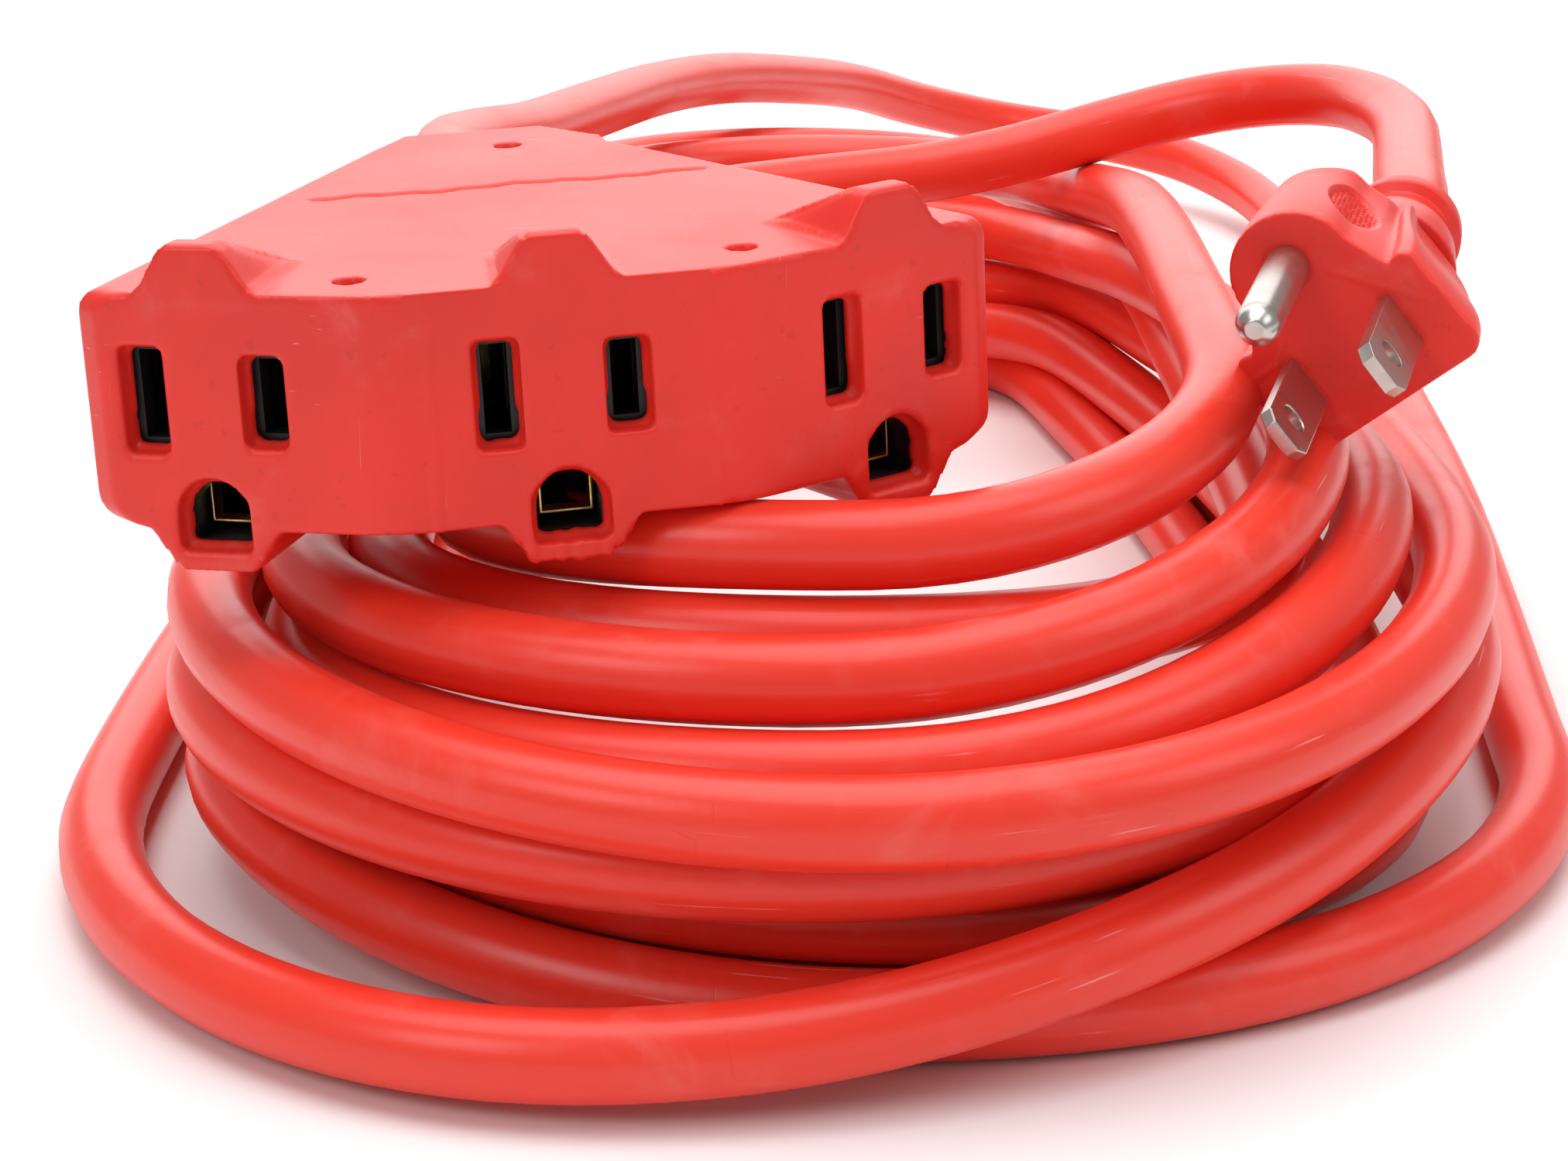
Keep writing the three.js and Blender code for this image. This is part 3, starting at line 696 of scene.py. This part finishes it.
def melted(mesh, place, start, rounds):
    """Rounds the part of a moulding that lies deeper than start, in mm, more than its face."""
    bm = bmesh.new()
    bm.from_mesh(mesh)
    back = place.inverted()
    deep = [v for v in bm.verts if (back @ v.co).y > start * MM]
    for _ in range(rounds):
        bmesh.ops.smooth_vert(
            bm, verts=deep, factor=0.5, use_axis_x=True, use_axis_y=True, use_axis_z=True
        )
    bm.to_mesh(mesh)
    bm.free()


def soft_moulding(bm, name, grain, rounds, place, detail, cuts=None, melt=None):
    """A blank's shape with rounded edges and its mould's marks, as soft vinyl leaves the mould."""
    upright = place.inverted()
    bmesh.ops.transform(bm, matrix=upright, verts=bm.verts)
    first = []
    if cuts is not None:
        cuts.transform(upright)
        cutter = linked("cutter", cuts)
        first = [("BOOLEAN", {
            "operation": "DIFFERENCE", "solver": "EXACT", "use_self": True, "object": cutter,
        })]
    mesh = applied(
        as_mesh(bm, name + "_blank"),
        [
            *first,
            ("REMESH", {"mode": "VOXEL", "voxel_size": grain, "adaptivity": 0.0}),
            ("SMOOTH", {"factor": 0.5, "iterations": rounds}),
        ],
    )
    if cuts is not None:
        bpy.data.objects.remove(cutter)
        bpy.data.meshes.remove(cuts)
    mesh.transform(place)
    if melt is not None:
        melted(mesh, place, *melt)
    pressed(mesh, place, detail)
    count = 2 * len(mesh.polygons)
    if count > MOST_TRIANGLES:
        share = MOST_TRIANGLES / count
        mesh = applied(mesh, [("DECIMATE", {"decimate_type": "COLLAPSE", "ratio": share})])
    return smooth_shaded(mesh)


def bevelled(node, width):
    """A CAD node's shape with its sharp edges bevelled, by a width in mm."""
    bm = merged_copy(node)
    bmesh.ops.dissolve_limit(
        bm, angle_limit=math.radians(2), verts=bm.verts, edges=bm.edges, delimit={"NORMAL"}
    )
    bevel(bm, sharp_edges(bm, PRONG_ANGLE), width)
    blank = smooth_shaded(as_mesh(bm, node + "_bevelled"))
    return applied(blank, [("WEIGHTED_NORMAL", {"weight": 60, "keep_sharp": False})])


def turned_grip(profile, place, name):
    """A grip spun about its own Y axis from its profile, with the rings' edges rounded."""
    bm = bmesh.new()
    corners = [bm.verts.new((r * MM, y * MM, 0)) for y, r in profile]
    for a, b in zip(corners, corners[1:]):
        bm.edges.new((a, b))
    bmesh.ops.spin(
        bm, geom=bm.verts[:] + bm.edges[:], cent=(0, 0, 0), axis=(0, 1, 0), dvec=(0, 0, 0),
        angle=2 * math.pi, steps=64, use_merge=True, use_duplicate=False,
    )
    bmesh.ops.remove_doubles(bm, verts=bm.verts, dist=WELD)
    bmesh.ops.recalc_face_normals(bm, faces=bm.faces)
    rings = [
        e for e in sharp_edges(bm, GRIP_ANGLE)
        if abs(e.verts[0].co.y - e.verts[1].co.y) < 10 * WELD
    ]
    bevel(bm, rings, GRIP_EDGE)
    bmesh.ops.transform(bm, matrix=place, verts=bm.verts)
    return smooth_shaded(as_mesh(bm, name))


def points_of(mesh):
    places = np.empty(len(mesh.vertices) * 3, np.float64)
    mesh.vertices.foreach_get("co", places)
    normals = np.empty(len(mesh.vertices) * 3, np.float64)
    mesh.vertices.foreach_get("normal", normals)
    return places.reshape(-1, 3), normals.reshape(-1, 3)


def pressed(mesh, place, detail):
    """Moves the mesh's points by detail(local places, local normals), both in the group's frame."""
    places, normals = points_of(mesh)
    back = np.array(place.inverted())
    local = (places @ back[:3, :3].T + back[:3, 3]) / MM
    moves = detail(local, normals @ back[:3, :3].T)
    ahead = np.array(place)[:3, :3]
    mesh.vertices.foreach_set("co", (places + (moves * MM) @ ahead.T).ravel())
    mesh.update()


def ridge(distance, width):
    """1 on a line, falling to 0 at about its width."""
    return np.exp(-((distance / width) ** 2))


# ---------------------------------------------------------------- cord route


def quarter_oval(start, end, middle, count):
    """Points on a quarter of an oval about middle from start up to, not at, end."""
    made = []
    for i in range(count):
        s = i / count
        a = s * math.pi / 2
        rise = 3 * s * s - 2 * s**3
        made.append((
            middle[0] + (start[0] - middle[0]) * math.cos(a) + (end[0] - middle[0]) * math.sin(a),
            middle[1] + (start[1] - middle[1]) * math.cos(a) + (end[1] - middle[1]) * math.sin(a),
            start[2] + (end[2] - start[2]) * rise,
        ))
    return made


def rear_bend(side, end, count):
    """Points from a side line back to the rearmost point: a slack run, then a round bend."""
    way = 1 if side[0] > end[0] else -1
    half = abs(side[0] - end[0])
    radius = min(max(REAR_ROUNDNESS * half, REAR_LEAST_RADIUS), half * REAR_MOST_ROUNDNESS)
    bend_count = count // 2
    bend = []
    for i in range(bend_count + 1):
        a = REAR_SLANT + (math.pi / 2 - REAR_SLANT) * i / bend_count
        bend.append((end[0] + way * radius * math.cos(a), end[1] - radius + radius * math.sin(a)))
    first, joint = np.array(side[:2]), np.array(bend[0])
    reach = np.linalg.norm(joint - first)
    leave = np.array((0, 1.0)) * reach
    arrive = np.array((-way * math.sin(REAR_SLANT), math.cos(REAR_SLANT))) * reach
    run = []
    for i in range(count - bend_count):
        t = i / (count - bend_count)
        run.append(tuple(
            (2 * t**3 - 3 * t * t + 1) * first + (t**3 - 2 * t * t + t) * leave
            + (3 * t * t - 2 * t**3) * joint + (t**3 - t * t) * arrive
        ))
    flat = np.array(run + bend)
    share = np.r_[0, np.cumsum(np.linalg.norm(np.diff(flat, axis=0), axis=1))]
    share /= share[-1]
    heights = side[2] + (end[2] - side[2]) * (3 * share**2 - 2 * share**3)
    return [(x, y, z) for (x, y), z in zip(flat, heights)]


def evenly(points, step):
    """The same line with points a step apart."""
    along = np.r_[0, np.cumsum(np.linalg.norm(np.diff(points, axis=0), axis=1))]
    stations = np.linspace(0, along[-1], int(round(along[-1] / step)) + 1)
    return np.stack([np.interp(stations, along, points[:, k]) for k in range(3)], 1)


def smooth_line(points, step):
    """A centripetal curve through the points, evenly sampled."""
    padded = np.vstack([2 * points[0] - points[1], points, 2 * points[-1] - points[-2]])
    made = []
    for i in range(1, len(padded) - 2):
        four = padded[i - 1:i + 3]
        knots = [0.0]
        for a, b in zip(four, four[1:]):
            knots.append(knots[-1] + np.linalg.norm(b - a) ** 0.5)
        samples = max(4, int(np.linalg.norm(four[2] - four[1])))
        for s in np.linspace(knots[1], knots[2], samples, endpoint=False):
            def blend(a, b, i0, i1):
                span = knots[i1] - knots[i0]
                return (knots[i1] - s) / span * a + (s - knots[i0]) / span * b
            one, two, three = (blend(four[k], four[k + 1], k, k + 1) for k in range(3))
            made.append(blend(blend(one, two, 0, 2), blend(two, three, 1, 3), 1, 2))
    made.append(padded[-2])
    return evenly(np.array(made), step)


def settled(line, diameter, rounds):
    """Pushes touching stretches of the cord apart until they lie beside and on each other."""
    count = len(line)
    index = np.arange(count)
    free = np.ones((count, 1))
    free[:HELD_AT_TAP] = 0
    free[-HELD_AT_PLUG:] = 0
    another = np.abs(index[:, None] - index[None, :]) > OWN_STRETCH
    shift = np.zeros_like(line)
    reach = diameter + TOUCH_GAP
    for _ in range(rounds):
        now = line + shift
        product = now @ now.T
        square = np.diag(product)
        apart = square[:, None] + square[None, :] - 2 * product
        a, b = np.nonzero(np.triu((apart < reach * reach) & another))
        if len(a) == 0:
            break
        gap_line = now[a] - now[b]
        length = np.maximum(np.linalg.norm(gap_line, axis=1), 1e-3)
        push = ((reach - length) / 2 / length)[:, None] * gap_line
        total = np.zeros_like(now)
        touches = np.zeros(count)
        np.add.at(total, a, push)
        np.add.at(total, b, -push)
        np.add.at(touches, a, 1)
        np.add.at(touches, b, 1)
        shift = shift + PUSH * total / np.maximum(touches, 1)[:, None]
        for _ in range(PUSH_SMOOTHING):
            shift[1:-1] = 0.5 * shift[1:-1] + 0.25 * (shift[:-2] + shift[2:])
            shift *= free
        shift[:, 2] = np.maximum(line[:, 2] + shift[:, 2], diameter / 2) - line[:, 2]
    return line + shift


def cord_route(diameter, rounds):
    """The cord's middle line from the tap's grip to the plug's, in metres."""
    thick = diameter / MM
    points = list(TAP_LEAD)
    count = POINTS_PER_QUARTER
    right_line, left_line = RIGHT_LINE / MM, LEFT_LINE / MM
    for number, (right, front, left, rear) in enumerate(TURNS):
        middle = front[2] if len(front) > 2 else (right[0] + left[0]) / 2
        at_right = (right[0], right_line, right[1])
        at_front = (middle, front[0], front[1])
        at_left = (left[0], left_line, left[1])
        points += quarter_oval(at_right, at_front, (middle, right_line), count)
        points += quarter_oval(at_front, at_left, (middle, left_line), count)
        if number < len(TURNS) - 1:
            after = TURNS[number + 1][0]
            at_rear = ((left[0] + after[0]) / 2, rear[0], rear[1])
            next_right = (after[0], right_line, after[1])
            points += rear_bend(at_left, at_rear, count)[:-1]
            points += rear_bend(next_right, at_rear, count)[::-1][:-1]
    points.append((TURNS[-1][2][0], left_line, TURNS[-1][2][1]))
    points += list(PLUG_LEAD)
    line = smooth_line(np.array(points, float), CORD_STEP / MM)
    line[:, 2] = np.maximum(line[:, 2], thick / 2)
    line = settled(line, thick, rounds)
    line = smooth_line(line[::2], CORD_STEP / MM)
    turn = np.array(Matrix.Rotation(COIL_TURN, 3, "Z"))
    return (line @ turn.T) * MM


def jacket_mesh(route, diameter):
    """A closed round tube along the route."""
    curve = bpy.data.curves.new("jacket_line", "CURVE")
    curve.dimensions = "3D"
    curve.bevel_depth = diameter / 2
    curve.bevel_resolution = 6
    curve.use_fill_caps = True
    curve.twist_mode = "MINIMUM"
    spline = curve.splines.new("POLY")
    spline.points.add(len(route) - 1)
    spline.points.foreach_set("co", np.c_[route, np.ones(len(route))].ravel())
    mesh = final_mesh(linked("jacket_helper", curve))
    bpy.data.curves.remove(curve)
    bm = bmesh.new()
    bm.from_mesh(mesh)
    bmesh.ops.remove_doubles(bm, verts=bm.verts, dist=WELD)
    bmesh.ops.recalc_face_normals(bm, faces=bm.faces)
    bm.to_mesh(mesh)
    bm.free()
    return smooth_shaded(mesh)


def mark_lie(mesh, route):
    """Writes each point's place in the straightened cord as a vector attribute named lie."""
    places, _ = points_of(mesh)
    count = len(route)
    sides = len(places) // count
    along = np.r_[0, np.cumsum(np.linalg.norm(np.diff(route, axis=0), axis=1))]
    ring = np.minimum(np.arange(len(places)) // sides, count - 1)
    turn = (np.arange(len(places)) % sides) * 2 * math.pi / sides
    radius = np.linalg.norm(places - route[ring], axis=1)
    lie = np.stack([along[ring], radius * np.cos(turn), radius * np.sin(turn)], 1)
    made = mesh.attributes.new("lie", "FLOAT_VECTOR", "POINT")
    made.data.foreach_set("vector", lie.astype(np.float32).ravel())


# ---------------------------------------------------------------- surface detail


def eased(value, low, high):
    """0 at low, 1 at high, with soft ends."""
    t = np.clip((value - low) / (high - low), 0, 1)
    return t * t * (3 - 2 * t)


def rounded_pad(across, deep, height, level, rise, foot, shoulder, flat, fade, spread):
    """How far a point moves up so that a straight-sided pad gets round shoulders and feet."""
    fall = np.clip((deep - flat) / (fade - flat), 0, 1)
    tall = rise * (1 - fall)
    foot_now = foot - deep / fade
    shoulder_now = shoulder + (foot_now - shoulder) * fall
    slope = np.maximum(foot_now - shoulder_now, 0.05)
    straight = np.clip((foot_now - across) / slope, 0, 1)
    soft = 1 - eased(across, np.maximum(shoulder_now - spread[0], 0), foot_now + spread[1])
    old_top = level + tall * straight
    root = level - PAD_ROOT
    share = np.clip((height - root) / (old_top - root), 0, 1)
    near = (across < foot + spread[1] + 0.5) & (deep > -1) & (deep < fade)
    return np.where(near & (height > root), tall * (soft - straight) * share, 0)


def tap_detail(local, normal):
    """Marks of the tap's mould: a wavy groove on top, parting lines and a rough lower edge."""
    x, y, z = local.T
    depth = np.zeros(len(local))
    top = (normal[:, 2] > 0.6) & (z > 6)
    wave = GROOVE_Y + 0.5 * np.sin(x * 0.33 + 0.8) + 0.25 * np.sin(x * 1.1)
    reach = np.clip((GROOVE_REACH - np.abs(x - GROOVE_MIDDLE)) / 1.5, 0, 1)
    depth -= np.where(top, GROOVE_DEPTH * reach * ridge(y - wave, GROOVE_WIDTH), 0)
    front = (normal[:, 1] < -0.6) & (y < 2.4)
    for line_x, height in PARTING_LINES:
        depth += np.where(front, height * ridge(x - line_x, PARTING_WIDTH), 0)
    flash = 0.22 * np.sin(x * 1.9) * np.sin(x * 0.73 + 1) + 0.12 * np.sin(x * 4.1)
    lower = (z < -13.6) & (y < 6)
    depth += np.where(lower, flash * ridge(z - FLASH_HEIGHT, FLASH_WIDTH), 0)
    moves = normal * depth[:, None]
    for _, x0, y0, turn in OUTLETS:
        c, n = math.cos(math.radians(turn)), math.sin(math.radians(turn))
        across = np.abs((x - x0) * c + (y - y0) * n)
        deep = (y - y0) * c - (x - x0) * n
        moves[:, 2] += rounded_pad(across, deep, z, **TOP_PAD)
        moves[:, 2] -= rounded_pad(across, deep, -z, **UNDER_PAD)
    return moves


def plug_detail(local, normal):
    """The plug's narrowing rear, knurls in its finger recesses and fine lines on its face."""
    x, y, z = local.T
    depth = np.zeros(len(local))
    off_y = (y - RECESS_MIDDLE[0]) / RECESS_SIZE[0]
    off_z = (z - RECESS_MIDDLE[1]) / RECESS_SIZE[1]
    inside = eased(1 - off_y**2 - off_z**2, 0, 0.3)
    knurl = np.sin(y * KNURL_RATE) * np.sin(z * KNURL_RATE)
    on_side = (np.abs(x) > 4) & (z > 6)
    depth += np.where(on_side, inside * (KNURL_HEIGHT * knurl - RECESS_DEPTH), 0)
    front = (normal[:, 1] < -0.7) & (y < 1.2)
    outer = (np.abs(x) > 7.4) & (np.abs(x) < 11.8)
    depth += np.where(front & outer, 0.14 * ridge(z - 3.5, 0.3), 0)
    slant = np.abs(x) * 0.78 + z * 0.62
    between = (z > 0) & (z < 9) & (np.abs(x) > 2.6)
    depth += np.where(front & between, 0.1 * ridge(slant - 8.2, 0.3), 0)
    moves = normal * depth[:, None]
    narrow = eased(y, NARROW_FROM, NARROW_TO) * (NARROW_SHARE + NARROW_SIDES * eased(-z, -8, -3))
    moves[:, 0] -= x * narrow
    moves[:, 2] -= np.where(z > 0, z * NARROW_TOP * narrow, 0)
    return moves


# ---------------------------------------------------------------- operators


class EXTCORD_OT_stage(bpy.types.Operator):
    """Makes the floor, the lights, the surroundings and the camera"""

    bl_idname = "extension_cord.stage"
    bl_label = "Stage"

    def execute(self, context):
        settings = context.scene.extension_studio
        bm = bmesh.new()
        bmesh.ops.create_grid(bm, x_segments=2, y_segments=2, size=FLOOR_SIZE)
        floor = linked("floor", as_mesh(bm, "floor"))
        f = Finish("pale_floor")
        cloud = f.noise(f.place(), 3.0, 3.0)
        pale = f.mix(cloud, tint(settings.floor_colour, 0.99), tint(settings.floor_colour, 1.01))
        floor.data.materials.append(f.principled(base_color=pale, roughness=0.7))

        world = bpy.data.worlds.new("white_surround")
        world.use_nodes = True
        nodes, links = world.node_tree.nodes, world.node_tree.links
        glow = nodes["Background"]
        glow.inputs["Color"].default_value = (1, 1, 1, 1)
        glow.inputs["Strength"].default_value = settings.surround
        wall = nodes.new("ShaderNodeBackground")
        wall.inputs["Color"].default_value = WALL_COLOUR
        seen = nodes.new("ShaderNodeLightPath")
        both = nodes.new("ShaderNodeMixShader")
        links.new(seen.outputs["Is Camera Ray"], both.inputs["Fac"])
        links.new(glow.outputs[0], both.inputs[1])
        links.new(wall.outputs[0], both.inputs[2])
        links.new(both.outputs[0], nodes["World Output"].inputs["Surface"])
        context.scene.world = world

        for name, size, place in LIGHTS:
            self.light(name + "_light", getattr(settings, name + "_power"), size, place)

        camera = bpy.data.cameras.new("camera")
        camera.lens = settings.lens
        camera.sensor_width = 36
        camera.sensor_fit = "HORIZONTAL"
        camera.clip_start = 0.01
        camera.clip_end = 50
        camera.dof.use_dof = False
        holder = linked("camera", camera)
        ahead = math.cos(CAMERA_DIP)
        look = Vector((*(c * ahead for c in CAMERA_HEADING), -math.sin(CAMERA_DIP)))
        holder.location = CAMERA_PLACE
        holder.rotation_euler = look.to_track_quat("-Z", "Y").to_euler()
        context.scene.camera = holder
        context.scene.view_settings.view_transform = "Standard"
        return {"FINISHED"}

    @staticmethod
    def light(name, power, size, place):
        lamp = bpy.data.lights.new(name, "AREA")
        lamp.energy = power
        lamp.size = size
        holder = linked(name, lamp)
        holder.location = place
        aim = LIGHT_AIM - Vector(place)
        holder.rotation_euler = aim.to_track_quat("-Z", "Y").to_euler()


class EXTCORD_OT_plug(bpy.types.Operator):
    """Makes the plug's moulding and the grip behind it"""

    bl_idname = "extension_cord.plug"
    bl_label = "Plug"

    def execute(self, context):
        sizes = context.scene.extension_moulding
        finish = finish_of("tap_vinyl")
        mesh = soft_moulding(
            plug_blank(), "plug", sizes.plug_grain, sizes.plug_softness, PLUG_PLACE,
            plug_detail, melt=PLUG_MELT,
        )
        add_piece("plug_moulding", mesh, finish, ["plug_body"])
        grip = turned_grip(PLUG_GRIP, PLUG_PLACE, "plug_cord_grip")
        add_piece("plug_cord_grip", grip, finish, ["plug_strain_relief"])
        return {"FINISHED"}


class EXTCORD_OT_prongs(bpy.types.Operator):
    """Makes the two blades and the ground pin"""

    bl_idname = "extension_cord.prongs"
    bl_label = "Prongs"

    def execute(self, context):
        nickel = finish_of("nickel")
        for name, node, width in (
            ("plug_neutral_prong", "neutral_blade", BLADE_EDGE),
            ("plug_line_prong", "line_blade", BLADE_EDGE),
            ("plug_ground_prong", "ground_pin", PIN_EDGE),
        ):
            add_piece(name, bevelled(node, width), nickel, [node])
        return {"FINISHED"}


class EXTCORD_OT_tap(bpy.types.Operator):
    """Makes the three-outlet tap's moulding and the grip at its rear"""

    bl_idname = "extension_cord.tap"
    bl_label = "Tap"

    def execute(self, context):
        sizes = context.scene.extension_moulding
        finish = finish_of("tap_vinyl")
        mesh = soft_moulding(
            tap_blank(), "tap", sizes.tap_grain, sizes.tap_softness, TAP_PLACE, tap_detail,
            cuts=slot_steps(),
        )
        add_piece("tap_moulding", mesh, finish, ["tap_body"])
        place = TAP_PLACE @ Matrix.Translation((0, 0, TAP_GRIP_MIDDLE * MM))
        grip = turned_grip(TAP_GRIP, place, "tap_cord_grip")
        add_piece("tap_cord_grip", grip, finish, ["tap_strain_relief"])
        return {"FINISHED"}


class EXTCORD_OT_ground_clips(bpy.types.Operator):
    """Makes the thin brass clips that show in the three ground holes"""

    bl_idname = "extension_cord.ground_clips"
    bl_label = "Ground Clips"

    def execute(self, context):
        for name, x, y, turn in OUTLETS:
            place = outlet_place(x, y, turn)
            bm = bmesh.new()
            corners = [bm.verts.new(Vector((px, CLIP_DEPTH, pz)) * MM) for px, pz in CLIP_PATH]
            edges = [bm.edges.new(pair) for pair in zip(corners, corners[1:])]
            bent = bmesh.ops.extrude_edge_only(bm, edges=edges)["geom"]
            moved = [v for v in bent if isinstance(v, bmesh.types.BMVert)]
            bmesh.ops.translate(bm, vec=(0, CLIP_LENGTH * MM, 0), verts=moved)
            bmesh.ops.recalc_face_normals(bm, faces=bm.faces)
            bmesh.ops.solidify(bm, geom=bm.faces[:], thickness=CLIP_THICKNESS * MM)
            bevel(bm, bm.edges[:], CLIP_EDGE, segments=2)
            bmesh.ops.transform(bm, matrix=place, verts=bm.verts)
            mesh = smooth_shaded(as_mesh(bm, name + "_ground_clip"))
            add_piece(name + "_ground_clip", mesh, finish_of("brass"))
        return {"FINISHED"}


class EXTCORD_OT_inner_parts(bpy.types.Operator):
    """Gives the contact carriers, contacts, wires and the plug's bridge their finishes"""

    bl_idname = "extension_cord.inner_parts"
    bl_label = "Inner Parts"

    def execute(self, context):
        for finish, nodes in INNER_FINISHES:
            for node in nodes:
                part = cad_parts[node]
                if not part.data.materials:
                    part.data.materials.append(None)
                for place in part.material_slots:
                    place.material = finish_of(finish)
        return {"FINISHED"}


class EXTCORD_OT_cord(bpy.types.Operator):
    """Lays the cord from the tap's grip through the coil to the plug"""

    bl_idname = "extension_cord.cord"
    bl_label = "Cord"

    def execute(self, context):
        settings = context.scene.extension_cord_lie
        route = cord_route(settings.diameter, settings.settle_rounds)
        mesh = jacket_mesh(route, settings.diameter)
        mark_lie(mesh, route)
        piece = add_piece("cord_jacket", mesh, finish_of("cord_vinyl"), CORD_NODES)
        return {"FINISHED"}


class EXTCORD_PT_panel(bpy.types.Panel):
    """Lists the pieces and their settings"""

    bl_idname = "EXTCORD_PT_panel"
    bl_label = "Extension Cord"
    bl_space_type = "VIEW_3D"
    bl_region_type = "UI"
    bl_category = "Extension Cord"

    def draw(self, context):
        layout = self.layout
        for group in SETTINGS:
            box = layout.box()
            settings = getattr(context.scene, group)
            for key in settings.bl_rna.properties.keys():
                if key not in ("rna_type", "name"):
                    box.prop(settings, key)
        for step in STEPS:
            layout.operator(step.bl_idname)


SETTINGS = {
    "extension_studio": StudioSettings,
    "extension_cord_lie": CordSettings,
    "extension_moulding": MouldingSettings,
    "extension_finish": FinishSettings,
}
STEPS = (
    EXTCORD_OT_stage,
    EXTCORD_OT_plug,
    EXTCORD_OT_prongs,
    EXTCORD_OT_cord,
    EXTCORD_OT_tap,
    EXTCORD_OT_ground_clips,
    EXTCORD_OT_inner_parts,
)


# Finishes with a colour setting: their maker, that setting, and how strong its colour is.
COLOURED = {
    "tap_vinyl": (moulded_vinyl, "tap_colour", 1),
    "cord_vinyl": (jacket_vinyl, "cord_colour", 1),
    "nickel": (plated_metal, "nickel_colour", 1),
    "brass": (contact_brass, "brass_colour", 1),
    # Painted shade: brass darkened to 6% of its colour, so that the buses deep inside the outlets
    # read as the dark of their holes.
    "dull_brass": (contact_brass, "brass_colour", 0.06),
}
# The other finishes: colour and roughness.
PLAIN = {
    "black_plastic": ((0.012, 0.012, 0.013), 0.42),
    "white_plastic": ((0.72, 0.7, 0.64), 0.45),
    "wire_black": ((0.02, 0.02, 0.02), 0.4),
    "wire_white": ((0.8, 0.79, 0.75), 0.4),
    "wire_green": ((0.03, 0.27, 0.07), 0.4),
}
INNER_FINISHES = (
    ("black_plastic", ("left_contact_carrier", "middle_contact_carrier", "right_contact_carrier")),
    # Painted shade: the buses get the darkened brass that stands for the dark deep inside the
    # outlets.
    ("dull_brass", ("neutral_bus", "line_bus", "ground_bus")),
    ("white_plastic", ("plug_bridge",)),
    ("wire_black", ("tap_line_wire", "plug_line_wire")),
    ("wire_white", ("tap_neutral_wire", "plug_neutral_wire")),
    ("wire_green", ("tap_ground_wire", "plug_ground_wire")),
)


def finish_of(name):
    """The finish of that name, made the first time that it is asked for."""
    title = "finish_" + name
    made = bpy.data.materials.get(title)
    if made is not None:
        return made
    if name in COLOURED:
        maker, setting, strength = COLOURED[name]
        return maker(title, tint(getattr(bpy.context.scene.extension_finish, setting), strength))
    return hard_plastic(title, *PLAIN[name])


def register():
    for group in SETTINGS.values():
        bpy.utils.register_class(group)
    for name, group in SETTINGS.items():
        setattr(bpy.types.Scene, name, PointerProperty(type=group))
    for step in STEPS:
        bpy.utils.register_class(step)
    bpy.utils.register_class(EXTCORD_PT_panel)


def unregister():
    bpy.utils.unregister_class(EXTCORD_PT_panel)
    for step in reversed(STEPS):
        bpy.utils.unregister_class(step)
    for name in SETTINGS:
        delattr(bpy.types.Scene, name)
    for group in reversed(tuple(SETTINGS.values())):
        bpy.utils.unregister_class(group)


def main():
    register()
    for step in STEPS:
        bpy.context.view_layer.update()
        area, name = step.bl_idname.split(".")
        getattr(getattr(bpy.ops, area), name)()
    bpy.context.view_layer.update()


if __name__ == "__main__":
    main()
